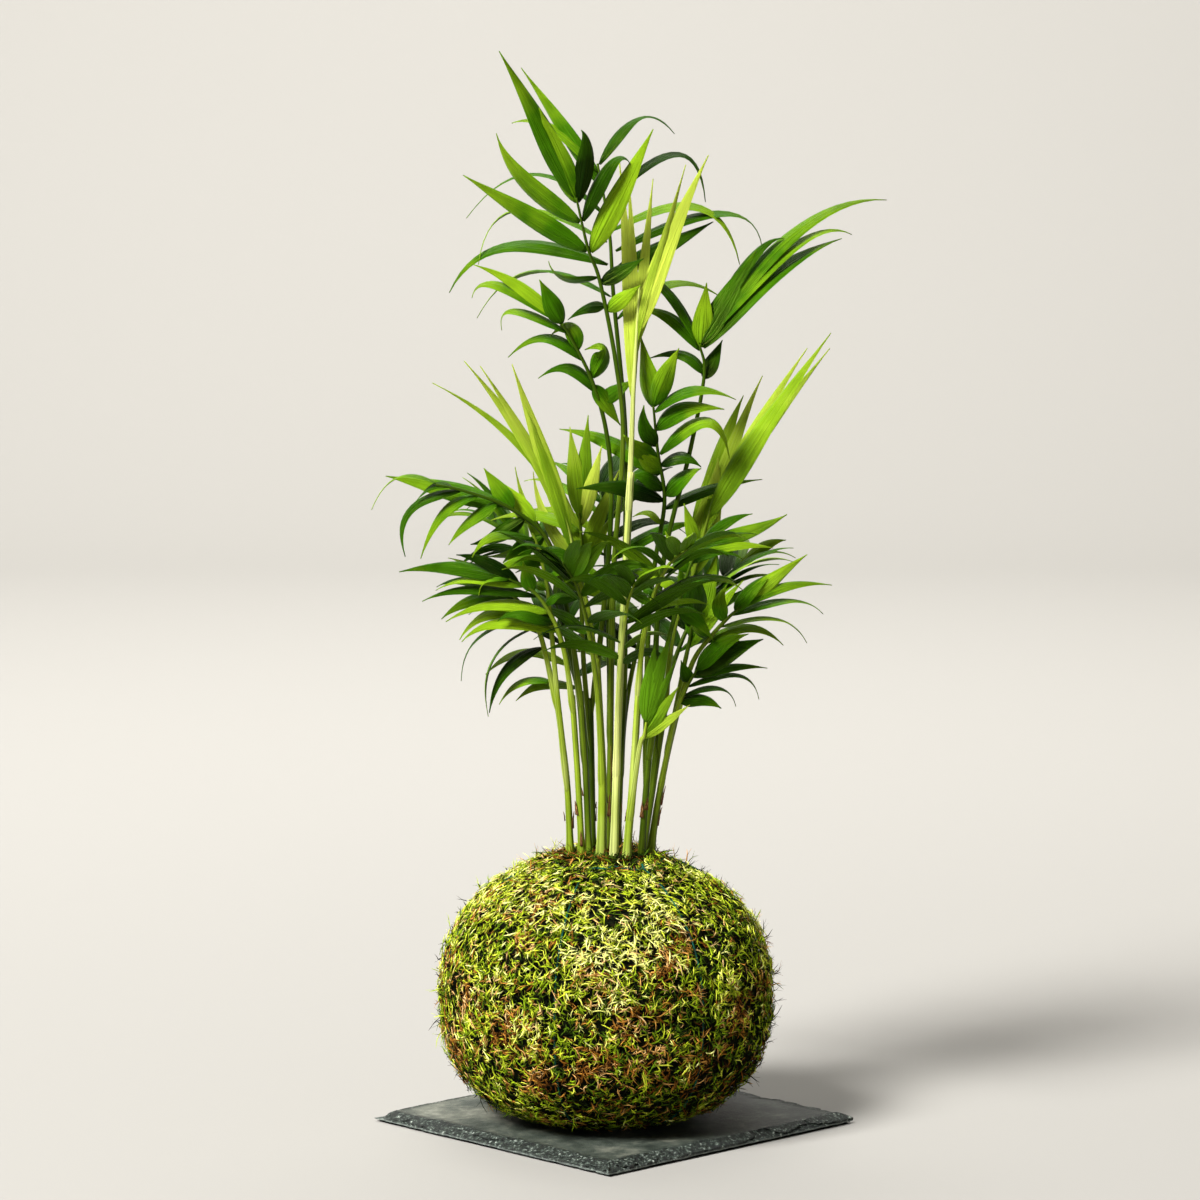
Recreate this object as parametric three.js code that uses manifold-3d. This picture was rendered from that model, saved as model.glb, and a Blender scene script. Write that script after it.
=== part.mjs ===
// Kokedama: a clump of young feather-leaved palms rooted in a soil ball that is wrapped in moss,
// bound with thread and stood on a square slate tile. Units are millimetres, +Z is up, -Y faces the
// viewer, and the origin is the middle of the tile's underside.
import * as THREE from "three";
import { mergeVertices } from "three/addons/utils/BufferGeometryUtils.js";
import Module from "manifold-3d";

const wasm = await Module();
wasm.setup();

// ---------------------------------------------------------------- driving dimensions
const GAP = 0.3; // clearance between pieces that touch
const SLIVER = 0.02; // edges shorter than this are smoothed away after a cut or join

const TILE = {
  side: 150,
  thickness: 5,
  turn: 43.8, // degrees in plan
  pointsPerSide: 11,
  // each layer of the hand-cut edge: height, how far it is set in, and how ragged it is
  layers: [
    { z: 0, inset: 0.9, ragged: 0.4 },
    { z: 0.8, inset: 0.2, ragged: 0.5 },
    { z: 2.4, inset: 0.9, ragged: 1.0 },
    { z: 3.5, inset: 2.2, ragged: 1.1 },
    { z: 5, inset: 3.4, ragged: 1.2 },
  ],
  brokenCorner: { corner: 3, reach: 12, depth: 5, above: 1 }, // the left corner has lost its upper layers
};

const BALL = {
  x: -3.5,
  y: -6,
  z: 60, // height of its widest ring
  radius: 72,
  above: 60, // half height upwards
  below: 57, // half height downwards, cut flat by the tile
  roundAbove: 2.2, // exponents of the squashed-sphere outline
  roundBelow: 2.6,
  restRadius: 33,
  mossThickness: 9,
  tuft: 2.6, // how far the tufts of moss stand above the hollows between them
  openingRadius: 23.5,
  lipHeight: 108, // below this the moss's inside widens again
  rimHeight: 118.6,
  rimRadius: 26,
  rimRounding: 2,
  knotRadius: 8, // the hollow under the ball where the strands of thread cross
  knotSlope: 4,
  rings: [8, 14, 23, 34, 46, 58, 70, 81, 91, 99.5, 106.5, 112, 116.5], // heights of the outside's rings
  segments: 40,
};

const SOIL = {
  floorRadius: 20,
  rings: [22, 40, 60, 80, 96],
  shoulderHeight: 116,
  shoulderInset: 1,
  topHeight: 117.5,
};

const THREAD = {
  radius: 0.5,
  columns: [2, 8, 14, 21, 28, 34], // which of the moss ball's segments carry a strand
  furrow: 2.6, // how deep a strand pulls the moss in
  furrowFade: 12, // height below the rim over which the furrow fades out
  stand: 0.25, // a little more than the clearance, for the facets of the furrow
  tieOut: 0.6, // the tie round the rim lies this far outside and above it
  tieUp: 0.8,
  footUp: 0.5,
  sides: 4,
};

const CANE = {
  rootHeight: 86, // where its foot ends inside the soil
  crownHeight: 118, // where it leaves the soil
  sides: 6,
  rings: 6,
  taperFrom: 0.3, // shares of its length between which it narrows
  taperTo: 0.8,
};

const STEM = {
  sides: 5,
  rings: 8,
  rootRadius: 1.25,
  leafRadius: 0.95,
  leafPlace: 0.55, // share of the way at which the stalk becomes the rachis
  tipRadius: 0.5,
};

const BLADE = {
  thickness: 0.9,
  sink: 0.25, // how far a leaflet's root lies inside the rachis
  stations: [0.26, 0.64], // places along the blade that carry a section
  bentStations: [0.2, 0.45, 0.74], // the same for a strongly bent blade
  bentFrom: 0.3, // rise of the bending point over the chord, as a share of it, that counts as strong
  widest: 0.62, // exponent that puts the widest place near a third of the length
  point: 1.15, // exponent of the taper: the higher, the longer the point
  fullRoll: 62, // degrees that the most bent blade turns its edge to the viewer
  rollGain: 2.2, // how soon a bend counts as the most
  testAlong: 21,
  testAcross: 5,
  clear: 2.7, // distance kept between sampled points of neighbouring fronds
  stemClear: 1.6,
  swings: [0, 8, -8, 16, -16, 24, -24, 33, -33, 42, -42, 52, -52], // degrees in depth, tried in turn
  shortenings: [1, 0.85, 0.7], // shares of the length, tried in turn
};

// ---------------------------------------------------------------- small tools
const vec = (x, y, z) => new THREE.Vector3(x, y, z);
const rad = THREE.MathUtils.degToRad;
const mix = (a, b, t) => a + (b - a) * t;
const UP = vec(0, 0, 1);

/** A seeded generator: the same draws on every run. */
function seeded(seed) {
  let state = seed >>> 0;
  return () => {
    state = (state + 0x6d2b79f5) >>> 0;
    let t = state;
    t = Math.imul(t ^ (t >>> 15), t | 1);
    t ^= t + Math.imul(t ^ (t >>> 7), t | 61);
    return ((t ^ (t >>> 14)) >>> 0) / 4294967296;
  };
}

/**
 * Closed skin over a stack of rings with equal numbers of points; a ring of one point is a tip. A
 * bulging skin splits each four-cornered face along the diagonal that stands further out.
 */
function skin(rings, bulging = false) {
  const positions = [];
  const index = [];
  const starts = [];
  for (const ring of rings) {
    starts.push(positions.length / 3);
    for (const p of ring) positions.push(p.x, p.y, p.z);
  }
  for (let k = 0; k + 1 < rings.length; k++) {
    const lower = rings[k];
    const upper = rings[k + 1];
    const count = Math.max(lower.length, upper.length);
    for (let i = 0; i < count; i++) {
      const j = (i + 1) % count;
      const a = starts[k] + (lower.length === 1 ? 0 : i);
      const b = starts[k] + (lower.length === 1 ? 0 : j);
      const c = starts[k + 1] + (upper.length === 1 ? 0 : j);
      const d = starts[k + 1] + (upper.length === 1 ? 0 : i);
      if (lower.length === 1) {
        index.push(a, c, d);
      } else if (upper.length === 1) {
        index.push(a, b, c);
      } else if (bulging && !standsOut(lower, upper, i, j)) {
        index.push(a, b, d, b, c, d);
      } else {
        index.push(a, b, c, a, c, d);
      }
    }
  }
  capRing(rings[0], starts[0], index, true);
  capRing(rings.at(-1), starts.at(-1), index, false);
  const geometry = new THREE.BufferGeometry();
  geometry.setAttribute("position", new THREE.Float32BufferAttribute(positions, 3));
  geometry.setIndex(index);
  return outward(geometry);
}

/** Whether the diagonal from lower i to upper j stands further out than the one that crosses it. */
function standsOut(lower, upper, i, j) {
  const middle = vec(0, 0, 0);
  for (const p of [...lower, ...upper]) middle.addScaledVector(p, 1 / (lower.length + upper.length));
  const along = upper[i].clone().sub(lower[i]).add(upper[j]).sub(lower[j]);
  const round = lower[j].clone().sub(lower[i]).add(upper[j]).sub(upper[i]);
  const out = along.cross(round);
  if (out.dot(lower[i].clone().add(upper[j]).multiplyScalar(0.5).sub(middle)) < 0) out.negate();
  const first = lower[i].clone().add(upper[j]);
  const second = lower[j].clone().add(upper[i]);
  return first.sub(second).dot(out) > 0;
}

/** Flat lid over the first or last ring, split into triangles in the plane that it faces most. */
function capRing(ring, start, index, first) {
  if (ring.length === 1) return;
  const normal = vec(0, 0, 0);
  for (let i = 0; i < ring.length; i++) {
    normal.add(ring[i].clone().cross(ring[(i + 1) % ring.length]));
  }
  normal.normalize();
  const side = Math.abs(normal.z) > 0.9 ? vec(1, 0, 0) : vec(0, 0, 1);
  const u = side.cross(normal).normalize();
  const v = normal.clone().cross(u);
  const flat = ring.map((p) => new THREE.Vector2(p.dot(u), p.dot(v)));
  for (const [a, b, c] of THREE.ShapeUtils.triangulateShape(flat, [])) {
    if (first) index.push(start + c, start + b, start + a);
    else index.push(start + a, start + b, start + c);
  }
}

/** Turns the faces of a closed skin outwards where its signed volume comes out negative. */
function outward(geometry) {
  const p = geometry.getAttribute("position");
  const index = geometry.getIndex();
  let volume = 0;
  const corner = (k) => vec(p.getX(index.getX(k)), p.getY(index.getX(k)), p.getZ(index.getX(k)));
  for (let k = 0; k < index.count; k += 3) {
    volume += corner(k).dot(corner(k + 1).cross(corner(k + 2)));
  }
  if (volume < 0) {
    for (let k = 0; k < index.count; k += 3) {
      const a = index.getX(k);
      index.setX(k, index.getX(k + 1));
      index.setX(k + 1, a);
    }
  }
  return geometry;
}

function toSolid(geometry) {
  const mesh = new wasm.Mesh({
    numProp: 3,
    vertProperties: new Float32Array(geometry.getAttribute("position").array),
    triVerts: new Uint32Array(geometry.getIndex().array),
  });
  return new wasm.Manifold(mesh);
}

/** The geometry of a solid's largest body, without the slivers and scraps that cuts leave behind. */
function toGeometry(solid) {
  const bodies = solid.decompose();
  bodies.sort((a, b) => b.volume() - a.volume());
  const mesh = bodies[0].simplify(SLIVER).getMesh();
  const geometry = new THREE.BufferGeometry();
  geometry.setAttribute("position", new THREE.Float32BufferAttribute(mesh.vertProperties, 3));
  geometry.setIndex(new THREE.BufferAttribute(new Uint32Array(mesh.triVerts), 1));
  return geometry;
}

/** Smooth curve through hand-chosen points, at a share t of its way. */
function along(points, t) {
  const last = points.length - 1;
  const place = Math.min(Math.max(t, 0), 1) * last;
  const i = Math.min(Math.floor(place), last - 1);
  const f = place - i;
  const mirrored = (end, inner) => end.clone().multiplyScalar(2).sub(inner);
  const before = i > 0 ? points[i - 1] : mirrored(points[0], points[1]);
  const after = i + 2 <= last ? points[i + 2] : mirrored(points[last], points[last - 1]);
  const value = (a, b, c, d) => {
    const squared = 2 * a - 5 * b + 4 * c - d;
    const cubed = 3 * b - a - 3 * c + d;
    return 0.5 * (2 * b + (c - a) * f + squared * f * f + cubed * f * f * f);
  };
  return vec(
    value(before.x, points[i].x, points[i + 1].x, after.x),
    value(before.y, points[i].y, points[i + 1].y, after.y),
    value(before.z, points[i].z, points[i + 1].z, after.z),
  );
}

function headingOf(points, t) {
  const step = 0.01;
  return along(points, t + step).sub(along(points, t - step)).normalize();
}

/** Ring of points round a centre, in the plane of two directions, from a starting share of a step. */
function ringRound(centre, across, other, radius, sides, offset = 0) {
  const ring = [];
  for (let i = 0; i < sides; i++) {
    const angle = (2 * Math.PI * (i + offset)) / sides;
    const point = centre.clone();
    point.addScaledVector(across, radius * Math.cos(angle));
    point.addScaledVector(other, radius * Math.sin(angle));
    ring.push(point);
  }
  return ring;
}

/** Round tapering stem along a path, as rings set square to it. */
function stemGeometry(points, rings, sides, radiusAt) {
  const stack = [];
  for (let k = 0; k <= rings; k++) {
    const t = k / rings;
    const heading = headingOf(points, t);
    const across = vec(0, 1, 0).cross(heading).normalize();
    const other = heading.clone().cross(across);
    stack.push(ringRound(along(points, t), across, other, radiusAt(t), sides));
  }
  return skin(stack);
}

// ---------------------------------------------------------------- slate tile
/** Square outline with ragged sides: each layer is set in from the edge and chipped by seeded draws. */
function tileLayer(layer, draw) {
  const half = TILE.side / 2;
  const corners = [
    [-half, -half],
    [half, -half],
    [half, half],
    [-half, half],
  ];
  const { corner, reach, depth } = TILE.brokenCorner;
  const [cx, cy] = corners[corner];
  const turn = rad(TILE.turn);
  const ring = [];
  for (let side = 0; side < 4; side++) {
    const [ax, ay] = corners[side];
    const [bx, by] = corners[(side + 1) % 4];
    for (let i = 0; i < TILE.pointsPerSide; i++) {
      const t = i / TILE.pointsPerSide;
      let x = mix(ax, bx, t);
      let y = mix(ay, by, t);
      const fromBroken = Math.hypot(x - cx, y - cy);
      const isBroken = layer.z > TILE.brokenCorner.above && fromBroken < reach;
      const broken = isBroken ? depth * (1 - fromBroken / reach) : 0;
      const edge = half - layer.inset - layer.ragged * draw() - broken;
      x -= Math.sign(x) * Math.max(0, Math.abs(x) - edge);
      y -= Math.sign(y) * Math.max(0, Math.abs(y) - edge);
      ring.push(vec(x, y, layer.z).applyAxisAngle(UP, turn));
    }
  }
  return ring;
}

function slateTile() {
  const draw = seeded(11);
  return skin(TILE.layers.map((layer) => tileLayer(layer, draw)));
}

// ---------------------------------------------------------------- moss ball, soil and thread
const BALL_FOOT = TILE.thickness + GAP;
const TURN_STEP = (2 * Math.PI) / BALL.segments;

/** Radius of the moss ball's smooth outline at a height. */
function ballRadius(z, shrink = 0) {
  const up = z > BALL.z;
  const half = (up ? BALL.above : BALL.below) - shrink;
  const power = up ? BALL.roundAbove : BALL.roundBelow;
  const share = Math.min(Math.abs(z - BALL.z) / half, 1);
  return (BALL.radius - shrink) * Math.pow(1 - Math.pow(share, power), 1 / power);
}

function isThreadColumn(i) {
  return THREAD.columns.includes(i % BALL.segments);
}

/** A ring of the moss's outside at a height: tufts by seeded draws, pulled in along the strands. */
function mossRing(z, draw) {
  const ring = [];
  for (let i = 0; i < BALL.segments; i++) {
    const angle = i * TURN_STEP;
    const tuft = BALL.tuft * (draw() - 0.7);
    const pull = isThreadColumn(i) ? -furrow(z) : tuft;
    const r = ballRadius(z) + pull;
    ring.push(vec(BALL.x + r * Math.cos(angle), BALL.y + r * Math.sin(angle), z));
  }
  return ring;
}

function roundRing(radius, z, lift = 0, every = 1) {
  const ring = [];
  for (let i = 0; i < BALL.segments; i += every) {
    const angle = i * TURN_STEP;
    const rise = isThreadColumn(i) ? lift : 0;
    ring.push(vec(BALL.x + radius * Math.cos(angle), BALL.y + radius * Math.sin(angle), z + rise));
  }
  return ring;
}

/** How deep a strand pulls the moss in at a height: not at all at the rim. */
function furrow(z) {
  return THREAD.furrow * Math.min(1, (BALL.rimHeight - z) / THREAD.furrowFade);
}

/** The soil's outline, bottom to top; the moss's inside is the same outline set 0.3 mm out. */
function soilOutline(grow) {
  const shrink = BALL.mossThickness - grow;
  const outline = [[SOIL.floorRadius, BALL_FOOT + shrink]];
  for (const z of SOIL.rings) outline.push([ballRadius(z, shrink), z]);
  return outline;
}

/** The skin of moss: its inside upwards, over the rim, and its outside down to the flat it rests on. */
function mossCover() {
  const inside = soilOutline(GAP);
  const throat = BALL.openingRadius + GAP;
  const rings = [[vec(BALL.x, BALL.y, inside[0][1])]];
  for (const [radius, z] of inside) rings.push(roundRing(radius, z));
  rings.push(roundRing(throat, BALL.lipHeight));
  rings.push(roundRing(throat, BALL.rimHeight - BALL.rimRounding));
  rings.push(roundRing(BALL.rimRadius, BALL.rimHeight));
  const draw = seeded(23);
  for (const z of [...BALL.rings].reverse()) rings.push(mossRing(z, draw));
  rings.push(roundRing(BALL.restRadius, BALL_FOOT, THREAD.furrow));
  rings.push(roundRing(BALL.knotRadius + BALL.knotSlope, BALL_FOOT, THREAD.furrow));
  rings.push(roundRing(BALL.knotRadius, BALL_FOOT + THREAD.furrow));
  rings.push([vec(BALL.x, BALL.y, BALL_FOOT + THREAD.furrow)]);
  return skin(rings);
}

/** The soil, with a hole for each cane. It has half as many sides as the moss. */
function soilBall(caneHoles) {
  const outline = soilOutline(0);
  outline.push([BALL.openingRadius, BALL.lipHeight]);
  outline.push([BALL.openingRadius - SOIL.shoulderInset, SOIL.shoulderHeight]);
  const rings = [[vec(BALL.x, BALL.y, outline[0][1])]];
  for (const [radius, z] of outline) rings.push(roundRing(radius, z, 0, 2));
  rings.push([vec(BALL.x, BALL.y, SOIL.topHeight)]);
  let soil = toSolid(skin(rings));
  for (const hole of caneHoles) soil = soil.subtract(hole);
  return toGeometry(soil);
}

/** Where a strand runs: over the furrow's floor, from the rim down to the middle of the underside. */
function strandPath(column) {
  const stand = GAP + THREAD.radius + THREAD.stand;
  const angle = column * TURN_STEP;
  const at = (r, z) => vec(BALL.x + r * Math.cos(angle), BALL.y + r * Math.sin(angle), z);
  const path = [at(BALL.rimRadius + THREAD.tieOut, BALL.rimHeight + THREAD.tieUp)];
  const heights = [...BALL.rings].reverse();
  for (let k = 0; k < heights.length; k++) {
    const z = heights[k];
    const r = ballRadius(z) - furrow(z);
    const above = heights[Math.max(k - 1, 0)];
    const below = heights[Math.min(k + 1, heights.length - 1)];
    const slope = vec(ballRadius(above) - ballRadius(below), 0, above - below).normalize();
    path.push(at(r + stand * slope.z, z - stand * slope.x));
  }
  const foot = BALL_FOOT + THREAD.radius + THREAD.footUp;
  path.push(at(BALL.restRadius, foot));
  path.push(at(0, foot));
  return path;
}

/** One strand: a thin four-sided tube whose rings face away from the middle of the ball. */
function strandGeometry(path) {
  const last = path.length - 1;
  const middle = vec(BALL.x, BALL.y, BALL.z);
  const stack = path.map((point, k) => {
    const heading = path[Math.min(k + 1, last)].clone().sub(path[Math.max(k - 1, 0)]).normalize();
    const across = point.clone().sub(middle).cross(heading).normalize();
    const rise = heading.clone().cross(across);
    return ringRound(point, across, rise, THREAD.radius, THREAD.sides, 0.5);
  });
  return skin(stack);
}

/** The tie round the rim: a closed four-sided profile turned about the ball's upright axis. */
function tieGeometry() {
  const profile = [];
  for (let k = 0; k <= THREAD.sides; k++) {
    const angle = (2 * Math.PI * (k % THREAD.sides)) / THREAD.sides;
    const r = BALL.rimRadius + THREAD.tieOut + THREAD.radius * Math.cos(angle);
    const z = BALL.rimHeight + THREAD.tieUp + THREAD.radius * Math.sin(angle);
    profile.push(new THREE.Vector2(r, z));
  }
  const tie = new THREE.LatheGeometry(profile, BALL.segments / 2);
  tie.rotateX(Math.PI / 2);
  return outward(merged(tie.translate(BALL.x, BALL.y, 0)));
}

/** All strands, fused where they cross under the ball and where they meet the tie round the rim. */
function bindingThread() {
  let thread = toSolid(tieGeometry());
  for (const column of THREAD.columns) {
    thread = thread.add(toSolid(strandGeometry(strandPath(column))));
  }
  return toGeometry(thread);
}

/** The same geometry with its shared corners made one, so that it is closed. */
function merged(geometry) {
  geometry.deleteAttribute("normal");
  geometry.deleteAttribute("uv");
  return mergeVertices(geometry, 1e-4);
}

// ---------------------------------------------------------------- canes
/** Each cane: where it leaves the soil, where it is half way up, where it ends, and its radii. */
const CANES = [
  { foot: [-19, 2], bend: [-20.5, 1, 152], top: [-25, 0, 189], radii: [1.6, 1.3] },
  { foot: [-14, -8], bend: [-15.5, -8, 152], top: [-18, -9, 190], radii: [1.5, 1.3] },
  { foot: [-11, 6], bend: [-12.2, 6, 152], top: [-14.5, 5, 190], radii: [1.5, 1.3] },
  { foot: [-9, 13], bend: [-9.3, 13, 150], top: [-10, 12, 186], radii: [1.2, 1.1] },
  { foot: [-5.5, -5], bend: [-5, -5, 155], top: [-7.5, -7, 206], radii: [2.3, 1.6] },
  { foot: [-2.5, 4], bend: [-1.6, 4, 160], top: [-1, 3, 208], radii: [1.6, 1.3] },
  { foot: [0, -13], bend: [2.5, -12, 195], top: [7.3, -10.5, 287], radii: [1.8, 1.5] },
  { foot: [2, 10], bend: [3.2, 10.5, 155], top: [5, 11, 190], radii: [1.3, 1.1] },
  { foot: [5.5, -15], bend: [8, -15.5, 152], top: [11, -17, 200], radii: [1.9, 1.5] },
  { foot: [12, -6], bend: [14.3, -5, 152], top: [17.5, -3, 186], radii: [1.6, 1.3] },
  { foot: [13, 5], bend: [17.5, 5.5, 150], top: [23, 6, 186], radii: [1.6, 1.2] },
  { foot: [16, -2], bend: [21, -1, 152], top: [28.5, 0, 186], radii: [1.7, 1.3] },
];

function canePath({ foot, bend, top }) {
  return [
    vec(foot[0], foot[1], CANE.rootHeight),
    vec(foot[0], foot[1], CANE.crownHeight),
    vec(...bend),
    vec(...top),
  ];
}

function caneRadius(radii, t) {
  const share = (t - CANE.taperFrom) / (CANE.taperTo - CANE.taperFrom);
  return mix(radii[0], radii[1], Math.min(1, Math.max(0, share)));
}

/** The cane, or with grow over zero the space that its neighbours leave free round it. */
function caneSolid(cane, grow) {
  const path = canePath(cane);
  path[0].z -= grow;
  path[3].addScaledVector(path[3].clone().sub(path[2]).normalize(), grow);
  const radiusAt = (t) => caneRadius(cane.radii, t) + grow;
  return toSolid(stemGeometry(path, CANE.rings, CANE.sides, radiusAt));
}

// ---------------------------------------------------------------- fronds
/**
 * Fronds that stand out in the outline. Each row of leaflets holds the share of the rachis it grows
 * from, its tip's x and z, its width, and the x and z that it bends towards where it isn't straight.
 * A leaflet's depth follows its frond's lean: how far it goes back for each millimetre sideways and up.
 */
const DRAWN_FRONDS = [
  {
    name: "frond_tall_front",
    cane: 6,
    start: 0.93,
    path: [[0, 2, 243], [4, -3, 300], [1, -7, 333], [-6, -12, 369], [-11, -16, 383], [-16, -22, 405]],
    lean: [0.1, -0.25],
    leaflets: [
      [0.61, -20, 352, 6, -12, 359],
      [0.6, 12, 368, 7],
      [0.66, 13, 379, 7],
      [0.68, -28, 378, 9, -25, 366],
      [0.82, -65, 415, 9],
      [0.81, 17, 435, 10],
      [0.92, -50, 433, 9, -45, 412],
      [0.92, 7, 419, 8, 1, 431],
      [0.98, -32, 444, 10],
      [0.98, -14, 434, 8, -9, 429],
      [0.995, -49, 468, 10, -29, 434],
    ],
  },
  {
    name: "frond_tall_back",
    cane: 8,
    start: 0.93,
    path: [[5, 14, 246], [5, 16, 303], [0, 18, 360], [-2, 22, 390], [-7, 28, 418]],
    lean: [0.15, 0.3],
    leaflets: [
      [0.56, 48, 359, 7, 25, 377],
      [0.6, -60, 350, 8, -41, 387],
      [0.66, 44, 393, 8, 24, 382],
      [0.68, -72, 361, 9, -56, 397],
      [0.72, 65, 375, 7, 66, 415],
      [0.75, -59, 373, 7, -54, 417],
      [0.79, 55, 373, 8, 47, 417],
      [0.83, -65, 393, 7, -36, 433],
      [0.88, 40, 400, 7, 37, 443],
      [0.93, -41, 460, 7, -21, 433],
      [0.97, -45, 435, 7, -28, 442],
      [0.99, 27, 430, 9, 11, 451],
    ],
  },
  {
    name: "frond_centre_spear",
    cane: 7,
    start: 0.93,
    path: [[7.6, -10.4, 300], [8.3, -10, 320], [9.6, -9, 343], [11, -9, 367]],
    lean: [0.05, -0.02],
    leaflets: [
      [0.45, 2, 424, 6, 7, 374],
      [0.55, 6, 418, 5, 9, 374],
      [0.66, 17, 414, 5, 13, 378],
      [0.72, 31, 420, 6, 18, 374],
      [0.78, 41, 424, 9, 20, 382],
    ],
  },
  {
    name: "frond_right_high",
    cane: 10,
    start: 0.9,
    path: [[21, 4, 243], [33, 4, 295], [39, 2, 328], [37, 0, 341]],
    lean: [0.3, 0.1],
    leaflets: [
      [0.73, 47, 343, 7],
      [0.75, 14, 334, 7, 33, 342],
      [0.93, 5, 353, 8, 23, 362],
      [0.95, 100, 386, 11, 67, 377],
      [0.96, -4, 371, 9, 23, 378],
      [0.97, 40, 368, 9],
      [0.97, 74, 386, 6, 61, 389],
      [0.98, 120, 402, 8, 80, 407],
      [0.99, 104, 387, 8, 83, 400],
      [0.995, 62, 382, 10, 48, 360],
    ],
  },
  {
    name: "frond_right_mid",
    cane: 10,
    start: 0.62,
    path: [[15, 10, 215], [18, 10, 246], [22, 6, 273], [19, 1, 295], [17, -4, 315]],
    lean: [-0.2, -0.4],
    leaflets: [
      [0.52, 8, 266, 6, 15, 271],
      [0.57, 67, 281, 6, 42, 280],
      [0.6, -21, 281, 8, 2, 284],
      [0.62, 38, 288, 10, 30, 285],
      [0.64, 7, 284, 8, 14, 286],
      [0.7, -23, 303, 9, 0, 301],
      [0.71, 9, 296, 8, 14, 291],
      [0.76, 3, 304, 8, 9, 296],
      [0.74, 38, 288, 9, 29, 297],
      [0.78, 50, 291, 8, 45, 325],
      [0.82, 13, 316, 8, 11, 304],
      [0.89, 48, 314, 9, 27, 318],
      [0.97, 53, 318, 8, 32, 329],
      [0.99, 12, 343, 10],
      [0.995, 28, 341, 9, 22, 330],
    ],
  },
  {
    name: "frond_left_mid",
    cane: 4,
    start: 0.93,
    path: [[-4, 10, 229], [-1, 6, 273], [-3, 2, 302], [-9, -4, 325], [-18, -9, 344], [-22, -12, 351]],
    lean: [0.25, -0.1],
    leaflets: [
      [0.6, 9, 326, 7],
      [0.63, -33, 326, 7, -18, 339],
      [0.66, 3, 306, 7],
      [0.68, -13, 339, 10, 3, 346],
      [0.74, -46, 335, 7, -29, 354],
      [0.78, -28, 345, 9, -17, 356],
      [0.87, -48, 347, 6, -52, 365],
      [0.97, -61, 376, 6, -40, 370],
      [0.99, -61, 361, 6, -58, 378],
      [0.995, -32, 370, 9],
    ],
  },
  {
    name: "frond_left_spear",
    cane: 5,
    start: 0.93,
    path: [[-11, -9, 227], [-16, -10, 243], [-19, -10, 260], [-25, -11, 280]],
    lean: [0.1, -0.1],
    leaflets: [
      [0.64, -38, 316, 6, -27, 288],
      [0.71, -44, 335, 8, -30, 294],
      [0.77, -58, 334, 6, -32, 296],
      [0.84, -65, 336, 6, -35, 302],
      [0.94, -79, 326, 4, -40, 307],
    ],
  },
  {
    name: "frond_left_far",
    cane: 3,
    start: 0.93,
    path: [[-18, 2, 213], [-23, -5, 240], [-30, -12, 260], [-46, -18, 273], [-64, -22, 280], [-76, -24, 283]],
    lean: [0.2, 0.2],
    leaflets: [
      [0.5, -58, 249, 8, -40, 249],
      [0.55, -49, 283, 8, -42, 275],
      [0.59, -62, 256, 8, -49, 258],
      [0.64, -56, 289, 8],
      [0.67, -99, 285, 9, -75, 281],
      [0.7, -71, 256, 7, -64, 267],
      [0.77, -83, 250, 7, -75, 277],
      [0.84, -89, 251, 7, -98, 277],
      [0.9, -85, 275, 6, -76, 286],
      [0.98, -104, 271, 6, -95, 294],
    ],
  },
  {
    name: "frond_left_low",
    cane: 1,
    start: 0.93,
    path: [[-31, -3, 213], [-36, -6, 224], [-43, -9, 233], [-50, -12, 238]],
    lean: [0.3, 0.3],
    leaflets: [
      [0.1, -50, 184, 7, -42, 199],
      [0.22, -54, 181, 7, -51, 204],
      [0.36, -54, 180, 7, -61, 209],
      [0.48, -66, 195, 8, -66, 219],
      [0.6, -67, 213, 8, -59, 228],
      [0.72, -75, 222, 8, -62, 235],
      [0.85, -77, 236, 7, -66, 243],
      [0.97, -72, 249, 7, -60, 247],
    ],
  },
  {
    name: "frond_right_spear",
    cane: 11,
    start: 0.93,
    path: [[26, 8, 215], [33, 10, 235], [39, 10, 258], [43, 10, 272]],
    lean: [0.15, 0.1],
    leaflets: [
      [0.55, 46, 292, 12, 44, 270],
      [0.58, 51, 306, 11, 44, 284],
      [0.62, 59, 322, 10, 46, 298],
      [0.69, 68, 331, 7, 52, 300],
      [0.74, 76, 316, 6, 57, 300],
      [0.8, 84, 339, 7, 58, 302],
      [0.86, 94, 347, 10, 62, 303],
      [0.95, 95, 339, 6, 65, 303],
    ],
  },
  {
    name: "frond_left_upright",
    cane: 4,
    start: 0.78,
    path: [[-13, 13, 200], [-14, 9, 232], [-14, 5, 256], [-15, 2, 268]],
    lean: [0.1, 0.05],
    leaflets: [
      [0.5, -43, 288, 7, -38, 256],
      [0.56, 2, 270, 6, -8, 254],
      [0.6, -35, 286, 8, -33, 262],
      [0.66, 3, 287, 7, -6, 266],
      [0.72, -27, 292, 7, -24, 270],
      [0.8, -54, 264, 7, -34, 272],
      [0.86, -5, 298, 7],
      [0.92, -11, 311, 8],
      [0.97, -19, 306, 8],
    ],
  },
  {
    name: "frond_right_upright",
    cane: 12,
    start: 0.75,
    path: [[30, 4.5, 198], [33, 7, 212], [34, 8, 222]],
    lean: [0.15, 0.1],
    leaflets: [
      [0.55, 57, 238, 7, 46, 228],
      [0.7, 46, 252, 11, 40, 228],
      [0.85, 28, 247, 9],
      [0.97, 37, 262, 12],
    ],
  },
  {
    name: "frond_front_small",
    cane: 9,
    start: 0.5,
    path: [[11, -19, 168], [13, -20, 174], [14, -21, 180]],
    lean: [-0.1, -0.05],
    leaflets: [
      [0.5, 33, 188, 5],
      [0.7, 28, 196, 6],
      [0.85, 27, 208, 5],
      [0.92, 25, 220, 7, 18, 200],
      [0.97, 18, 216, 8, 15, 196],
    ],
  },
  {
    name: "frond_left_wide",
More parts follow.
